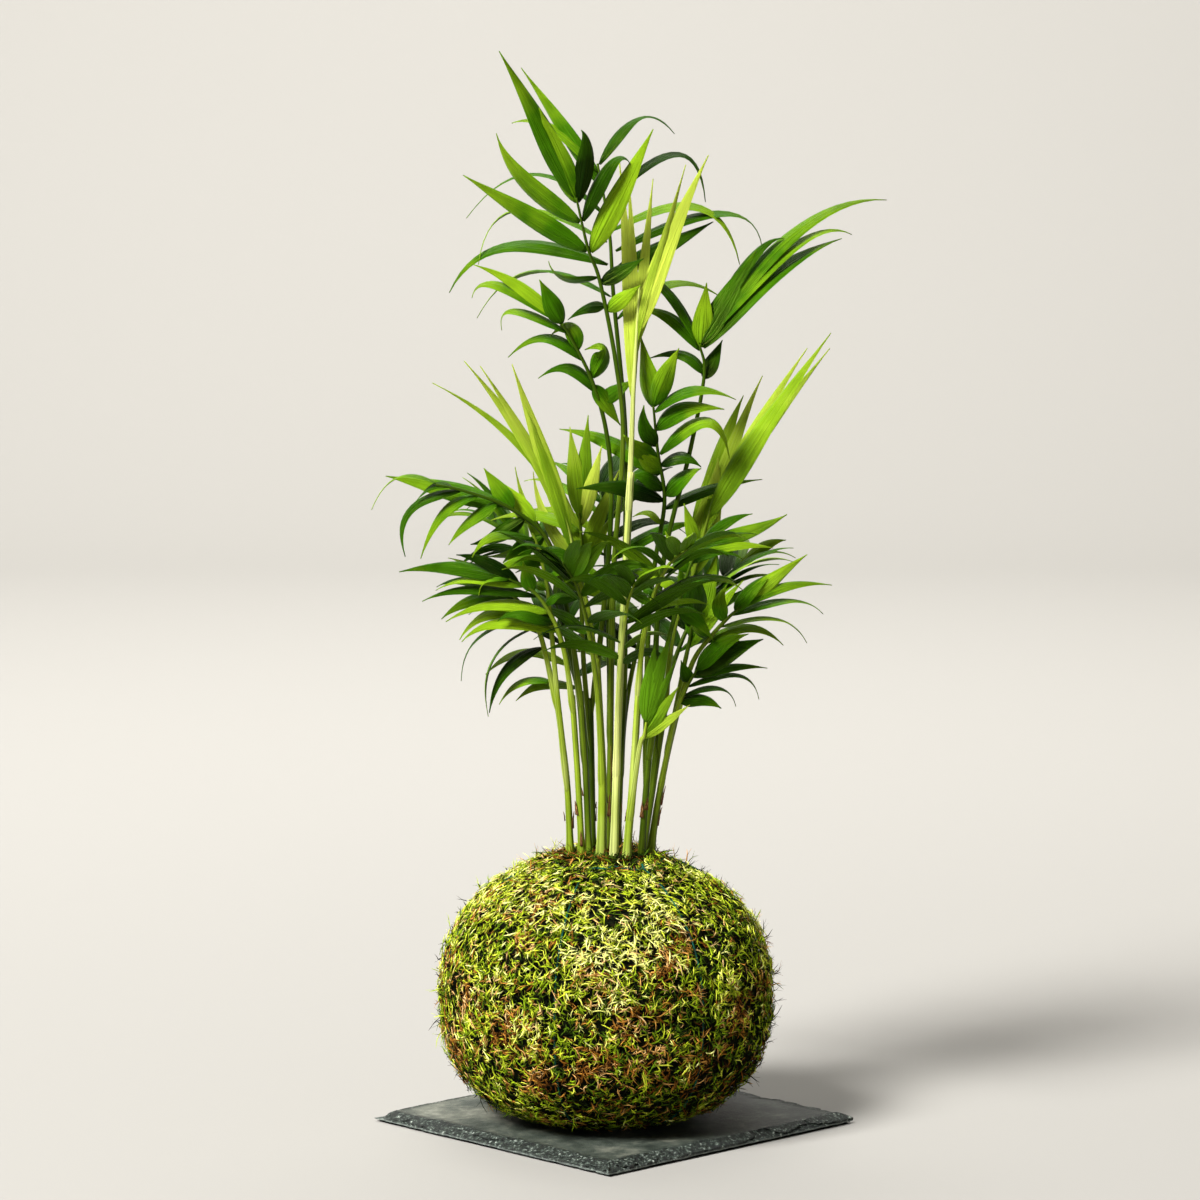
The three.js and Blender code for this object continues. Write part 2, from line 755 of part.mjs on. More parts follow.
    cane: 2,
    start: 0.93,
    path: [[-21, -14, 208], [-26, -18, 224], [-34, -20, 236], [-45, -20, 242]],
    lean: [0.15, -0.1],
    leaflets: [
      [0.4, -66, 213, 6, -54, 228],
      [0.47, -50, 223, 10, -41, 232],
      [0.55, -73, 222, 6, -53, 236],
      [0.62, -17, 233, 7, -24, 238],
      [0.7, -83, 231, 5, -66, 241],
      [0.76, -39, 250, 7, -38, 243],
      [0.84, -77, 236, 6, -62, 246],
      [0.9, -68, 252, 6, -56, 252],
      [0.96, -93, 244, 7, -70, 250],
      [0.99, -58, 234, 6, -57, 245],
    ],
  },
  {
    name: "frond_left_front",
    cane: 1,
    start: 0.6,
    path: [[-25, -7, 196], [-27, -11, 220], [-29, -14, 240], [-33, -15, 256], [-35, -15, 261]],
    lean: [-0.1, -0.15],
    leaflets: [
      [0.44, -38, 226, 7, -33, 231],
      [0.5, -8, 232, 6, -15, 236],
      [0.56, -39, 234, 9, -33, 242],
      [0.62, -1, 236, 6, -11, 254],
      [0.68, -56, 242, 6, -43, 254],
      [0.75, -15, 250, 7, -22, 252],
      [0.8, -50, 248, 8, -41, 258],
      [0.86, -67, 251, 6, -60, 270],
      [0.92, -22, 262, 6, -27, 264],
      [0.96, -51, 281, 9, -39, 273],
      [0.99, -44, 289, 7, -36, 277],
    ],
  },
  {
    name: "frond_right_wide",
    cane: 12,
    start: 0.93,
    path: [[34, -2, 203], [42, -4, 215], [50, -6, 224], [56, -7, 229]],
    lean: [0.15, -0.05],
    leaflets: [
      [0.42, 74, 210, 6, 60, 226],
      [0.5, 33, 224, 7, 34, 216],
      [0.6, 84, 211, 6, 75, 230],
      [0.68, 49, 238, 8, 43, 229],
      [0.76, 91, 224, 6, 80, 237],
      [0.84, 70, 244, 8, 58, 236],
      [0.92, 84, 251, 7, 69, 241],
      [0.96, 95, 237, 5, 74, 241],
    ],
  },
  {
    name: "frond_right_low",
    cane: 12,
    start: 0.6,
    path: [[26, -4, 178], [31, -6, 192], [36, -7, 201]],
    lean: [0.1, 0.1],
    leaflets: [
      [0.5, 47, 184, 8, 39, 190],
      [0.58, 53, 184, 5, 50, 198],
      [0.7, 63, 187, 5, 60, 206],
      [0.78, 29, 205, 6, 31, 199],
      [0.86, 67, 201, 5, 52, 204],
      [0.92, 65, 215, 10, 49, 210],
      [0.99, 59, 218, 9, 44, 214],
    ],
  },
  {
    name: "frond_right_front",
    cane: 10,
    start: 0.75,
    path: [[21, -11, 202], [27, -13, 228], [33, -12, 247], [39, -10, 259]],
    lean: [0.05, -0.1],
    leaflets: [
      [0.44, 12, 228, 7, 13, 247],
      [0.5, 43, 214, 7, 36, 226],
      [0.57, 14, 240, 6, 20, 244],
      [0.64, 56, 236, 6, 45, 246],
      [0.7, 22, 262, 7, 26, 252],
      [0.76, 56, 249, 6, 45, 258],
      [0.83, 69, 254, 5, 54, 258],
      [0.88, 30, 274, 6, 33, 264],
      [0.93, 75, 269, 7, 60, 260],
      [0.98, 60, 269, 5, 50, 268],
    ],
  },
];

/**
 * Fronds that follow the palm's own rule: the stalk rises and arches out in its direction, and its
 * leaflets stand in pairs, longest in the middle, spread wide near the foot and narrow near the tip.
 * The size holds how far the tip reaches out, how far it rises, and the length of a leaflet.
 */
const ARCHED_FRONDS = [
  { name: "frond_left_back", cane: 3, start: 0.7, toward: 160, size: [44, 108, 46], pairs: 8 },
  { name: "frond_front_left", cane: 5, start: 0.6, toward: 240, size: [34, 104, 44], pairs: 8 },
  { name: "frond_front_middle", cane: 7, start: 0.5, toward: 283, size: [34, 90, 42], pairs: 8 },
  { name: "frond_front_right", cane: 9, start: 0.93, toward: 305, size: [36, 68, 40], pairs: 7 },
  { name: "frond_right_back", cane: 11, start: 0.6, toward: 38, size: [52, 100, 45], pairs: 8 },
  { name: "frond_back_right", cane: 8, start: 0.6, toward: 62, size: [46, 84, 44], pairs: 5 },
  { name: "frond_back_middle", cane: 6, start: 0.7, toward: 96, size: [46, 112, 44], pairs: 7 },
  { name: "frond_back_left", cane: 4, start: 0.55, toward: 124, size: [46, 84, 44], pairs: 5 },
];

/** The palm's rule: where leaflets begin, how wide they spread, droop and are. Degrees and shares. */
const ARCH = {
  firstLeaflet: 0.42,
  footSpread: 68,
  tipSpread: 24,
  leastDroop: 0.2,
  mostDroop: 0.55,
  narrow: 5.8,
  wide: 8.4,
  sidewaysPower: 1.7, // the stalk leaves upright and bends outwards as it goes
  risePower: 2.4, // and rises half as fast again at first as at last
  lastLeaflet: 0.99,
  jitter: 10, // degrees by which the spread changes from leaflet to leaflet
  shortest: 0.72, // shares of a frond's leaflet length: at its ends, and what is added in its middle
  swell: 0.5,
  swellPower: 0.8,
  bendAt: 0.55, // where a leaflet's midline is drawn to, and where it ends before it droops
  endAt: 0.96,
};

/** Direction, per frond, of the side that its leaflets show. */
const VIEWER = vec(0, -1, 0.25).normalize();

/** Level direction in which an arched frond leaves the clump. */
function towards(frond) {
  return vec(Math.cos(rad(frond.toward)), Math.sin(rad(frond.toward)), 0);
}

/** Points of a frond's stalk: from the cane's axis through the drawn points or along the arch. */
function frondPath(frond) {
  const foot = along(canePath(CANES[frond.cane - 1]), frond.start);
  if (frond.path) return [foot, ...frond.path.map((p) => vec(...p))];
  const out = towards(frond);
  const [reach, rise] = frond.size;
  const points = [];
  for (const t of [0, 0.25, 0.5, 0.75, 1]) {
    const sideways = reach * Math.pow(t, ARCH.sidewaysPower);
    const up = rise * (1.5 * t - 0.5 * Math.pow(t, ARCH.risePower));
    points.push(foot.clone().addScaledVector(out, sideways).add(vec(0, 0, up)));
  }
  return points;
}

/** A drawn frond's leaflets: root on the rachis, bending point, tip and width. */
function drawnLeaflets(frond, path) {
  return frond.leaflets.map(([place, tipX, tipZ, width, bendX, bendZ]) => {
    const root = along(path, place);
    const depth = (x, z) => root.y + frond.lean[0] * Math.abs(x - root.x) + frond.lean[1] * (z - root.z);
    const tip = vec(tipX, depth(tipX, tipZ), tipZ);
    const straight = bendX === undefined;
    const bend = straight ? root.clone().lerp(tip, 0.5) : vec(bendX, depth(bendX, bendZ), bendZ);
    return { root, bend, tip, width, face: VIEWER };
  });
}

/** An arched frond's leaflets, with small seeded changes of angle, length and droop. */
function archedLeaflets(frond, path, draw) {
  const leaflets = [];
  const count = 2 * frond.pairs;
  const across = UP.clone().cross(towards(frond));
  for (let k = 0; k < count; k++) {
    const side = k % 2 === 0 ? 1 : -1;
    const share = (k + 0.6 * draw()) / count;
    const place = mix(ARCH.firstLeaflet, ARCH.lastLeaflet, share);
    const root = along(path, place);
    const heading = headingOf(path, place);
    const face = across.clone().cross(heading).multiplyScalar(-1).normalize();
    const spread = rad(mix(ARCH.footSpread, ARCH.tipSpread, share) + ARCH.jitter * (draw() - 0.5));
    const swell = ARCH.shortest + ARCH.swell * Math.sin(Math.PI * Math.pow(share, ARCH.swellPower));
    const length = frond.size[2] * swell * mix(0.85, 1.1, draw());
    const direction = heading.clone().multiplyScalar(Math.cos(spread));
    direction.addScaledVector(across, side * Math.sin(spread));
    direction.addScaledVector(face, 0.15 + 0.2 * draw());
    direction.normalize();
    const droop = length * mix(ARCH.leastDroop, ARCH.mostDroop, draw());
    const bend = root.clone().addScaledVector(direction, ARCH.bendAt * length);
    const tip = root.clone().addScaledVector(direction, ARCH.endAt * length);
    tip.z -= droop;
    const width = mix(ARCH.narrow, ARCH.wide, draw());
    leaflets.push({ root, bend, tip, width, face });
  }
  return leaflets;
}

/** A point of a leaflet's midline, bending from its root to its tip. */
function midline({ root, bend, tip }, t) {
  return root
    .clone()
    .multiplyScalar((1 - t) * (1 - t))
    .addScaledVector(bend, 2 * t * (1 - t))
    .addScaledVector(tip, t * t);
}

/** Half width of a leaflet at a share of its length: narrow root, widest near a third, long point. */
function halfWidth(width, t) {
  return 0.5 * width * Math.pow(Math.sin(Math.PI * Math.pow(t, BLADE.widest)), BLADE.point);
}

/** How far the bending point stands off the straight line from root to tip, as a share of the line. */
function archShare({ root, bend, tip }) {
  return bend.distanceTo(root.clone().lerp(tip, 0.5)) / root.distanceTo(tip);
}

/**
 * Directions across a blade and out of its upper face at a share of its length. A blade can only arch
 * about its own width, so the more its midline bends, the more it turns its edge to the viewer.
 */
function bladeFrame(leaflet, t) {
  const { root, bend, tip, face } = leaflet;
  const heading = bend.clone().sub(root).multiplyScalar(1 - t);
  heading.addScaledVector(tip.clone().sub(bend), t).normalize();
  const chord = root.clone().lerp(tip, 0.5);
  const arch = bend.clone().sub(chord);
  const roll = Math.min(1, BLADE.rollGain * archShare(leaflet)) * rad(BLADE.fullRoll);
  const upper = face.clone().multiplyScalar(Math.cos(roll));
  if (arch.length() > 0.5) upper.addScaledVector(arch.normalize(), Math.sin(roll));
  const across = heading.clone().cross(upper).normalize();
  const normal = across.clone().cross(heading).normalize();
  return { across, normal };
}

/** Leaflet blade: low roof-shaped sections from a root sunk in the rachis to a sharp tip. */
function bladeGeometry(leaflet) {
  const inwards = leaflet.root.clone().sub(leaflet.bend).normalize();
  const rings = [[leaflet.root.clone().addScaledVector(inwards, BLADE.sink)]];
  const stations = archShare(leaflet) > BLADE.bentFrom ? BLADE.bentStations : BLADE.stations;
  for (const t of stations) {
    const { across, normal } = bladeFrame(leaflet, t);
    const centre = midline(leaflet, t);
    const half = halfWidth(leaflet.width, t);
    rings.push([
      centre.clone().addScaledVector(across, half),
      centre.clone().addScaledVector(normal, BLADE.thickness),
      centre.clone().addScaledVector(across, -half),
    ]);
  }
  rings.push([leaflet.tip.clone()]);
  return skin(rings, true);
}

// ---------------------------------------------------------------- keeping fronds clear of each other
/** Sampled points of a leaflet's face, for measuring how near others come. */
function leafletSamples(leaflet) {
  const samples = [];
  for (let i = 1; i <= BLADE.testAlong; i++) {
    const t = i / BLADE.testAlong;
    const { across } = bladeFrame(leaflet, t);
    const centre = midline(leaflet, t);
    for (let j = 0; j < BLADE.testAcross; j++) {
      const offset = halfWidth(leaflet.width, t) * (-1 + (2 * j) / (BLADE.testAcross - 1));
      samples.push(centre.clone().addScaledVector(across, offset));
    }
  }
  return samples;
}

function boxOf(samples, margin) {
  return new THREE.Box3().setFromPoints(samples).expandByScalar(margin);
}

function tooNear(samples, obstacles) {
  const box = boxOf(samples, 0);
  for (const obstacle of obstacles) {
    if (!box.intersectsBox(obstacle.box)) continue;
    for (const a of samples) {
      for (const b of obstacle.points) {
        if (a.distanceToSquared(b) < obstacle.reach * obstacle.reach) return true;
      }
    }
  }
  return false;
}

function asObstacle(points, reach) {
  return { points, reach, box: boxOf(points, reach) };
}

/** The leaflet swung in depth by an angle and shortened by a factor, about its root. */
function swung(leaflet, degrees, shorten) {
  const move = (p) => {
    const arm = p.clone().sub(leaflet.root);
    const length = arm.length();
    arm.y += length * Math.sin(rad(degrees));
    return arm.setLength(length * shorten).add(leaflet.root);
  };
  return { ...leaflet, bend: move(leaflet.bend), tip: move(leaflet.tip) };
}

/** The first swing that clears every obstacle, or nothing where none does. */
function clearLeaflet(leaflet, obstacles) {
  for (const shorten of BLADE.shortenings) {
    for (const degrees of BLADE.swings) {
      const trial = swung(leaflet, degrees, shorten);
      if (!tooNear(leafletSamples(trial), obstacles)) return trial;
    }
  }
  return null;
}

function stemRadius(t) {
  if (t < STEM.leafPlace) return mix(STEM.rootRadius, STEM.leafRadius, t / STEM.leafPlace);
  return mix(STEM.leafRadius, STEM.tipRadius, (t - STEM.leafPlace) / (1 - STEM.leafPlace));
}

function stemObstacle(path, radius) {
  const points = [];
  const steps = 60; // about 2 mm apart on the longest stalk
  for (let k = 0; k <= steps; k++) points.push(along(path, k / steps));
  return asObstacle(points, radius + BLADE.stemClear);
}

/** Plans every frond's leaflets in turn, each clear of the stems and of the fronds before it. */
function planFronds() {
  const fronds = [...DRAWN_FRONDS, ...ARCHED_FRONDS];
  const paths = fronds.map(frondPath);
  const stems = paths.map((path) => stemObstacle(path, STEM.rootRadius));
  const canes = CANES.map((cane) => stemObstacle(canePath(cane), cane.radii[0]));
  const placed = [];
  return fronds.map((frond, k) => {
    const draw = seeded(100 + k);
    const drawn = frond.leaflets !== undefined;
    const wanted = drawn ? drawnLeaflets(frond, paths[k]) : archedLeaflets(frond, paths[k], draw);
    const others = [...canes, ...stems.filter((_, i) => i !== k), ...placed];
    const leaflets = wanted.map((leaflet) => clearLeaflet(leaflet, others)).filter(Boolean);
    for (const leaflet of leaflets) placed.push(asObstacle(leafletSamples(leaflet), BLADE.clear));
    return { name: frond.name, path: paths[k], leaflets };
  });
}

/** Stalk, rachis and leaflets as one solid, cut clear of the cane that it grows on. */
function frondGeometry(frond, caneSpaces) {
  let solid = toSolid(stemGeometry(frond.path, STEM.rings, STEM.sides, stemRadius));
  for (const leaflet of frond.leaflets) solid = solid.add(toSolid(bladeGeometry(leaflet)));
  for (const space of caneSpaces) solid = solid.subtract(space);
  return toGeometry(solid);
}

// ---------------------------------------------------------------- the part
const COLOURS = {
  slate: { color: 0x5b625c, roughness: 0.85 },
  moss: { color: 0x76841f, roughness: 0.95 },
  thread: { color: 0x14584a, roughness: 0.7 },
  soil: { color: 0x3a2a1c, roughness: 1 },
  cane: { color: 0xa9c25a, roughness: 0.5 },
  leaf: { color: 0x357f1e, roughness: 0.42 },
  youngLeaf: { color: 0x8fbf24, roughness: 0.45 },
};

const YOUNG = [
  "frond_centre_spear",
  "frond_left_spear",
  "frond_left_upright",
  "frond_right_spear",
  "frond_front_small",
];

function piece(name, geometry, { color, roughness }) {
  const material = new THREE.MeshStandardMaterial({ color, roughness, metalness: 0 });
  const mesh = new THREE.Mesh(geometry, material);
  mesh.name = name;
  return mesh;
}

function buildKokedama() {
  const plant = new THREE.Group();
  plant.add(piece("slate_tile", slateTile(), COLOURS.slate));
  plant.add(piece("moss_cover", mossCover(), COLOURS.moss));
  plant.add(piece("binding_thread", bindingThread(), COLOURS.thread));
  const spaces = CANES.map((cane) => caneSolid(cane, GAP));
  plant.add(piece("root_ball", soilBall(spaces), COLOURS.soil));
  CANES.forEach((cane, k) => {
    const name = `cane_${String(k + 1).padStart(2, "0")}`;
    plant.add(piece(name, toGeometry(caneSolid(cane, 0)), COLOURS.cane));
  });
  for (const frond of planFronds()) {
    const colour = YOUNG.includes(frond.name) ? COLOURS.youngLeaf : COLOURS.leaf;
    plant.add(piece(frond.name, frondGeometry(frond, spaces), colour));
  }
  return plant;
}

export default buildKokedama();
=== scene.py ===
from itertools import product

import bpy
import numpy as np
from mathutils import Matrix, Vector


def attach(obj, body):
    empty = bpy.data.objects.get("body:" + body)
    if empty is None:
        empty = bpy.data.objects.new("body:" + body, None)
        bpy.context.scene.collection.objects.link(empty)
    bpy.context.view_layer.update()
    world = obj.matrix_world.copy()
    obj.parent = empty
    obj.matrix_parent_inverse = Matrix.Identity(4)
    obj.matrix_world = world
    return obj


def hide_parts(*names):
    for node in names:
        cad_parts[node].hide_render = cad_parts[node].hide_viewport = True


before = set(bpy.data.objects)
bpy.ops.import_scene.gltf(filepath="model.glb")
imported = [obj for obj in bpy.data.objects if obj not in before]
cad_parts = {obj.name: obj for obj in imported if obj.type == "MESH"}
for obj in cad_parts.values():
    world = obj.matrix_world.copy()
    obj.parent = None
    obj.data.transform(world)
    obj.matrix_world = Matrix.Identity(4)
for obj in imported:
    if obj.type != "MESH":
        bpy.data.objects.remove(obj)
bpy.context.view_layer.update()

# The finer look of a kokedama: a clump of young feather-leaved palms in a moss-wrapped ball on a
# slate tile. Shapes are worked out in millimetres, +Z up, and scaled to metres as they become meshes.
MM = 0.001
TURN = 2 * np.pi
UP = np.array([0.0, 0.0, 1.0])
INTO_DEPTH = np.array([0.0, 1.0, 0.0])
GAP = 0.3  # clearance between pieces that touch

BALL = {"x": -3.5, "y": -6.0, "z": 60.0, "radius": 72.0, "above": 60.0, "below": 57.0}
ROUND_ABOVE, ROUND_BELOW = 2.2, 2.6  # exponents of the squashed sphere
SIDE_TOP, SIDE_FOOT = 116.5, 8.0  # heights between which the ball's side is a squashed sphere
RIM_HEIGHT, RIM_RADIUS = 118.6, 26.0
OPENING_RADIUS = 23.5
REST_RADIUS = 33.0
TILE_TOP = 5.0
BALL_FOOT = TILE_TOP + GAP
THREAD_ANGLES = TURN / 40 * np.array([2, 8, 14, 21, 28, 34])  # where the strands run round the ball
FURROW = {"depth": 2.6, "width": 2.6, "fade": 12}  # the groove that each strand pulls into the moss


# ------------------------------------------------------------------ small tools
def linear(code):
    """Linear colour of an sRGB hex code."""
    srgb = np.array([int(code[k : k + 2], 16) for k in (1, 3, 5)]) / 255
    value = np.where(srgb <= 0.04045, srgb / 12.92, ((srgb + 0.055) / 1.055) ** 2.4)
    return (*value, 1.0)


def add(finish, kind, inputs=None, out=0, to=None, stops=(), **settings):
    """Adds one node to a finish: its settings, its inputs set or linked by name or number, the stops
    (place, hex code) of its colour band, and a link on to a socket. Returns the chosen output."""
    node = finish.node_tree.nodes.new("ShaderNode" + kind)
    for key, value in settings.items():
        setattr(node, key, value)
    for key, value in (inputs or {}).items():
        if isinstance(value, bpy.types.NodeSocket):
            finish.node_tree.links.new(value, node.inputs[key])
        else:
            node.inputs[key].default_value = value
    if stops:
        band = node.color_ramp.elements
        for place, _ in stops[1:-1]:
            band.new(place)
        for stop, (place, code) in zip(band, stops):
            stop.position = place
            stop.color = linear(code)
    if to:
        finish.node_tree.links.new(node.outputs[out], to)
    return node.outputs[out]


def finish_named(name, **sockets):
    """A finish with its one surface shader, whose even values are set on the shader's own sockets."""
    finish = bpy.data.materials.new(name)
    finish.use_nodes = True
    surface = finish.node_tree.nodes["Principled BSDF"]
    for key, value in sockets.items():
        surface.inputs[key.replace("_", " ")].default_value = value
    return finish, surface.inputs


def unit(v):
    return v / np.linalg.norm(v, axis=-1, keepdims=True)


def mix(a, b, t):
    return a + (b - a) * t


def ease(t):
    """From 0 to 1 with level ends: 3t^2 - 2t^3 of the clipped share."""
    t = np.clip(t, 0, 1)
    return t * t * (3 - 2 * t)


def lumps(points, size, seed):
    """Smooth random field from -1 to 1: seeded values on a cubic lattice of that size in millimetres,
    eased between the eight corners round each point."""
    values = np.random.default_rng(seed).uniform(-1, 1, (32, 32, 32))
    place = np.asarray(points) / size
    low = np.floor(place).astype(int)
    share = ease(place - low)
    total = 0
    for corner in product((0, 1), repeat=3):
        weight = np.prod(np.where(corner, share, 1 - share), axis=-1)
        i, j, k = np.moveaxis((low + corner) % 32, -1, 0)
        total = total + weight * values[i, j, k]
    return total


# ------------------------------------------------------------------ from rings to meshes
def skins(rings, finish=0, tone=0.0, creases=()):
    """Closed skins over rings: rings[n, r, s] is point s of ring r of skin n. Neighbouring rings are
    joined by four-cornered faces, and a fan from the middle of each end ring closes the skin. The map
    runs round the ring and along the skin. tone is one value a skin. creases are the places round
    the ring where a sharp edge runs along the skin."""
    count, rows, sides, _ = rings.shape
    size = rows * sides + 2
    ends = np.stack([rings[:, 0].mean(1), rings[:, -1].mean(1)], 1)
    points = np.concatenate([rings.reshape(count, -1, 3), ends], 1)
    s, r = np.arange(sides), np.arange(rows - 1)[:, None]
    after = (s + 1) % sides
    low, high = r * sides, (r + 1) * sides
    last = (rows - 1) * sides
    quads = np.stack([low + s, low + after, high + after, high + s], -1)
    foot = np.stack([after, s, np.full(sides, size - 2)], -1)
    head = np.stack([last + s, last + after, np.full(sides, size - 1)], -1)
    corners = np.r_[quads.ravel(), foot.ravel(), head.ravel()]
    sizes = np.repeat([4, 3], [last, 2 * sides])
    a, b, middle, zero, one = s / sides, (s + 1) / sides, (s + 0.5) / sides, s * 0.0, s * 0.0 + 1
    v0 = r / (rows - 1)
    v1 = v0 + 1 / (rows - 1)
    maps = (
        np.stack(np.broadcast_arrays(a, v0, b, v0, b, v1, a, v1), -1),
        np.stack([b, zero, a, zero, middle, zero], -1),
        np.stack([a, one, b, one, middle, one], -1),
    )
    lines = np.r_[np.tile(np.where(np.isin(s, creases), s, -1), rows), -1, -1]
    return {
        "points": points.reshape(-1, 3),
        "corners": (corners + np.arange(count)[:, None] * size).ravel(),
        "sizes": np.tile(sizes, count),
        "map": np.tile(np.concatenate([m.reshape(-1, 2) for m in maps]), (count, 1)),
        "skin": np.repeat(np.arange(count), len(corners)),
        "tone": np.repeat(np.zeros(count) + tone, size),
        "creases": np.tile(lines, count),
        "finish": np.full(count * len(sizes), finish),
    }


def piece(name, forms, finishes, slot, *replaced, smooth=True, strip=None):
    """One mesh of several forms, in metres at the origin. Its map "form" is the forms' own. The map
    for the export gives each skin a cell of its own. Where strip is given, both maps squeeze each skin
    into one of so many columns, by its tone."""
    starts = np.cumsum([0, *(len(f["points"]) for f in forms)])
    skin_starts = np.cumsum([0, *(f["skin"][-1] + 1 for f in forms)])
    corners = np.concatenate([f["corners"] + k for f, k in zip(forms, starts)])
    cell = np.concatenate([f["skin"] + k for f, k in zip(forms, skin_starts)])
    points, sizes, own, tone, creases, which = (
        np.concatenate([f[key] for f in forms])
        for key in ("points", "sizes", "map", "tone", "creases", "finish")
    )
    if strip:
        column = np.floor(tone[corners] * strip)
        own[:, 0] = (column + 0.15 + 0.7 * own[:, 0]) / strip
        baked = own
    else:
        across = int(np.ceil(np.sqrt(skin_starts[-1])))
        baked = (np.stack([cell % across, cell // across], -1) + 0.03 + 0.94 * own) / across
    mesh = bpy.data.meshes.new(name)
    mesh.vertices.add(len(points))
    mesh.loops.add(len(corners))
    mesh.polygons.add(len(sizes))
    for part, key, values in (
        (mesh.vertices, "co", (points * MM).astype(np.float32)),
        (mesh.loops, "vertex_index", corners.astype(np.int32)),
        (mesh.polygons, "loop_start", (np.cumsum(sizes) - sizes).astype(np.int32)),
        (mesh.polygons, "material_index", which.astype(np.int32)),
        (mesh.polygons, "use_smooth", np.full(len(sizes), smooth)),
    ):
        part.foreach_set(key, values.ravel())
    for key, values in (("form", own), ("OFBake", baked)):
        mesh.uv_layers.new(name=key).data.foreach_set("uv", values.astype(np.float32).ravel())
    mesh.attributes.new("tone", "FLOAT", "POINT").data.foreach_set("value", tone.astype(np.float32))
    mesh.update(calc_edges=True)
    pairs = np.empty(2 * len(mesh.edges), np.int32)
    mesh.edges.foreach_get("vertices", pairs)
    low, high = creases[pairs.reshape(-1, 2)].T
    mesh.edges.foreach_set("use_edge_sharp", (low >= 0) & (low == high))
    for finish in finishes:
        mesh.materials.append(finish)
    made = bpy.data.objects.new(name, mesh)
    bpy.context.scene.collection.objects.link(made)
    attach(made, "root")
    if replaced:
        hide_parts(*replaced)


def along(points, t):
    """Smooth curve through the points (uniform Catmull-Rom with mirrored ends) at shares t."""
    points = np.asarray(points, float)
    last = len(points) - 1
    place = np.clip(np.asarray(t, float), 0, 1) * last
    i = np.minimum(np.floor(place).astype(int), last - 1)
    f = (place - i)[..., None]
    held = np.concatenate([[2 * points[0] - points[1]], points, [2 * points[last] - points[last - 1]]])
    a, b, c, d = held[i], held[i + 1], held[i + 2], held[i + 3]
    straight, square, cube = c - a, 2 * a - 5 * b + 4 * c - d, 3 * b - a - 3 * c + d
    return 0.5 * (2 * b + straight * f + square * f * f + cube * f * f * f)


def heading_of(points, t):
    step = 0.01
    return unit(along(points, np.asarray(t) + step) - along(points, np.asarray(t) - step))


def round_ring(centre, across, other, angle, radius):
    """Rings round each centre: centre plus radius times (cos, sin) of the angle in two directions."""
    turned = across[:, None] * np.cos(angle)[..., None] + other[:, None] * np.sin(angle)[..., None]
    return centre[:, None] + turned * np.asarray(radius)[..., None]


def stem_rings(path, shares, radii, sides):
    """Rings square to a path. radii may differ round the ring."""
    heading = heading_of(path, shares)
    across = unit(np.cross(INTO_DEPTH, heading))
    angle = TURN * np.arange(sides) / sides
    return round_ring(along(path, shares), across, np.cross(heading, across), angle, radii)


# ------------------------------------------------------------------ canes and fronds: the tables
# each cane: where it leaves the soil, where it is half way up, where it ends, and its radii
CANES = [
    ((-19, 2), (-20.5, 1, 152), (-25, 0, 189), (1.6, 1.3)),
    ((-14, -8), (-15.5, -8, 152), (-18, -9, 190), (1.5, 1.3)),
    ((-11, 6), (-12.2, 6, 152), (-14.5, 5, 190), (1.5, 1.3)),
    ((-9, 13), (-9.3, 13, 150), (-10, 12, 186), (1.2, 1.1)),
    ((-5.5, -5), (-5, -5, 155), (-7.5, -7, 206), (2.3, 1.6)),
    ((-2.5, 4), (-1.6, 4, 160), (-1, 3, 208), (1.6, 1.3)),
    ((0, -13), (2.5, -12, 195), (7.3, -10.5, 287), (1.8, 1.5)),
    ((2, 10), (3.2, 10.5, 155), (5, 11, 190), (1.3, 1.1)),
    ((5.5, -15), (8, -15.5, 152), (11, -17, 200), (1.9, 1.5)),
    ((12, -6), (14.3, -5, 152), (17.5, -3, 186), (1.6, 1.3)),
    ((13, 5), (17.5, 5.5, 150), (23, 6, 186), (1.6, 1.2)),
    ((16, -2), (21, -1, 152), (28.5, 0, 186), (1.7, 1.3)),
]
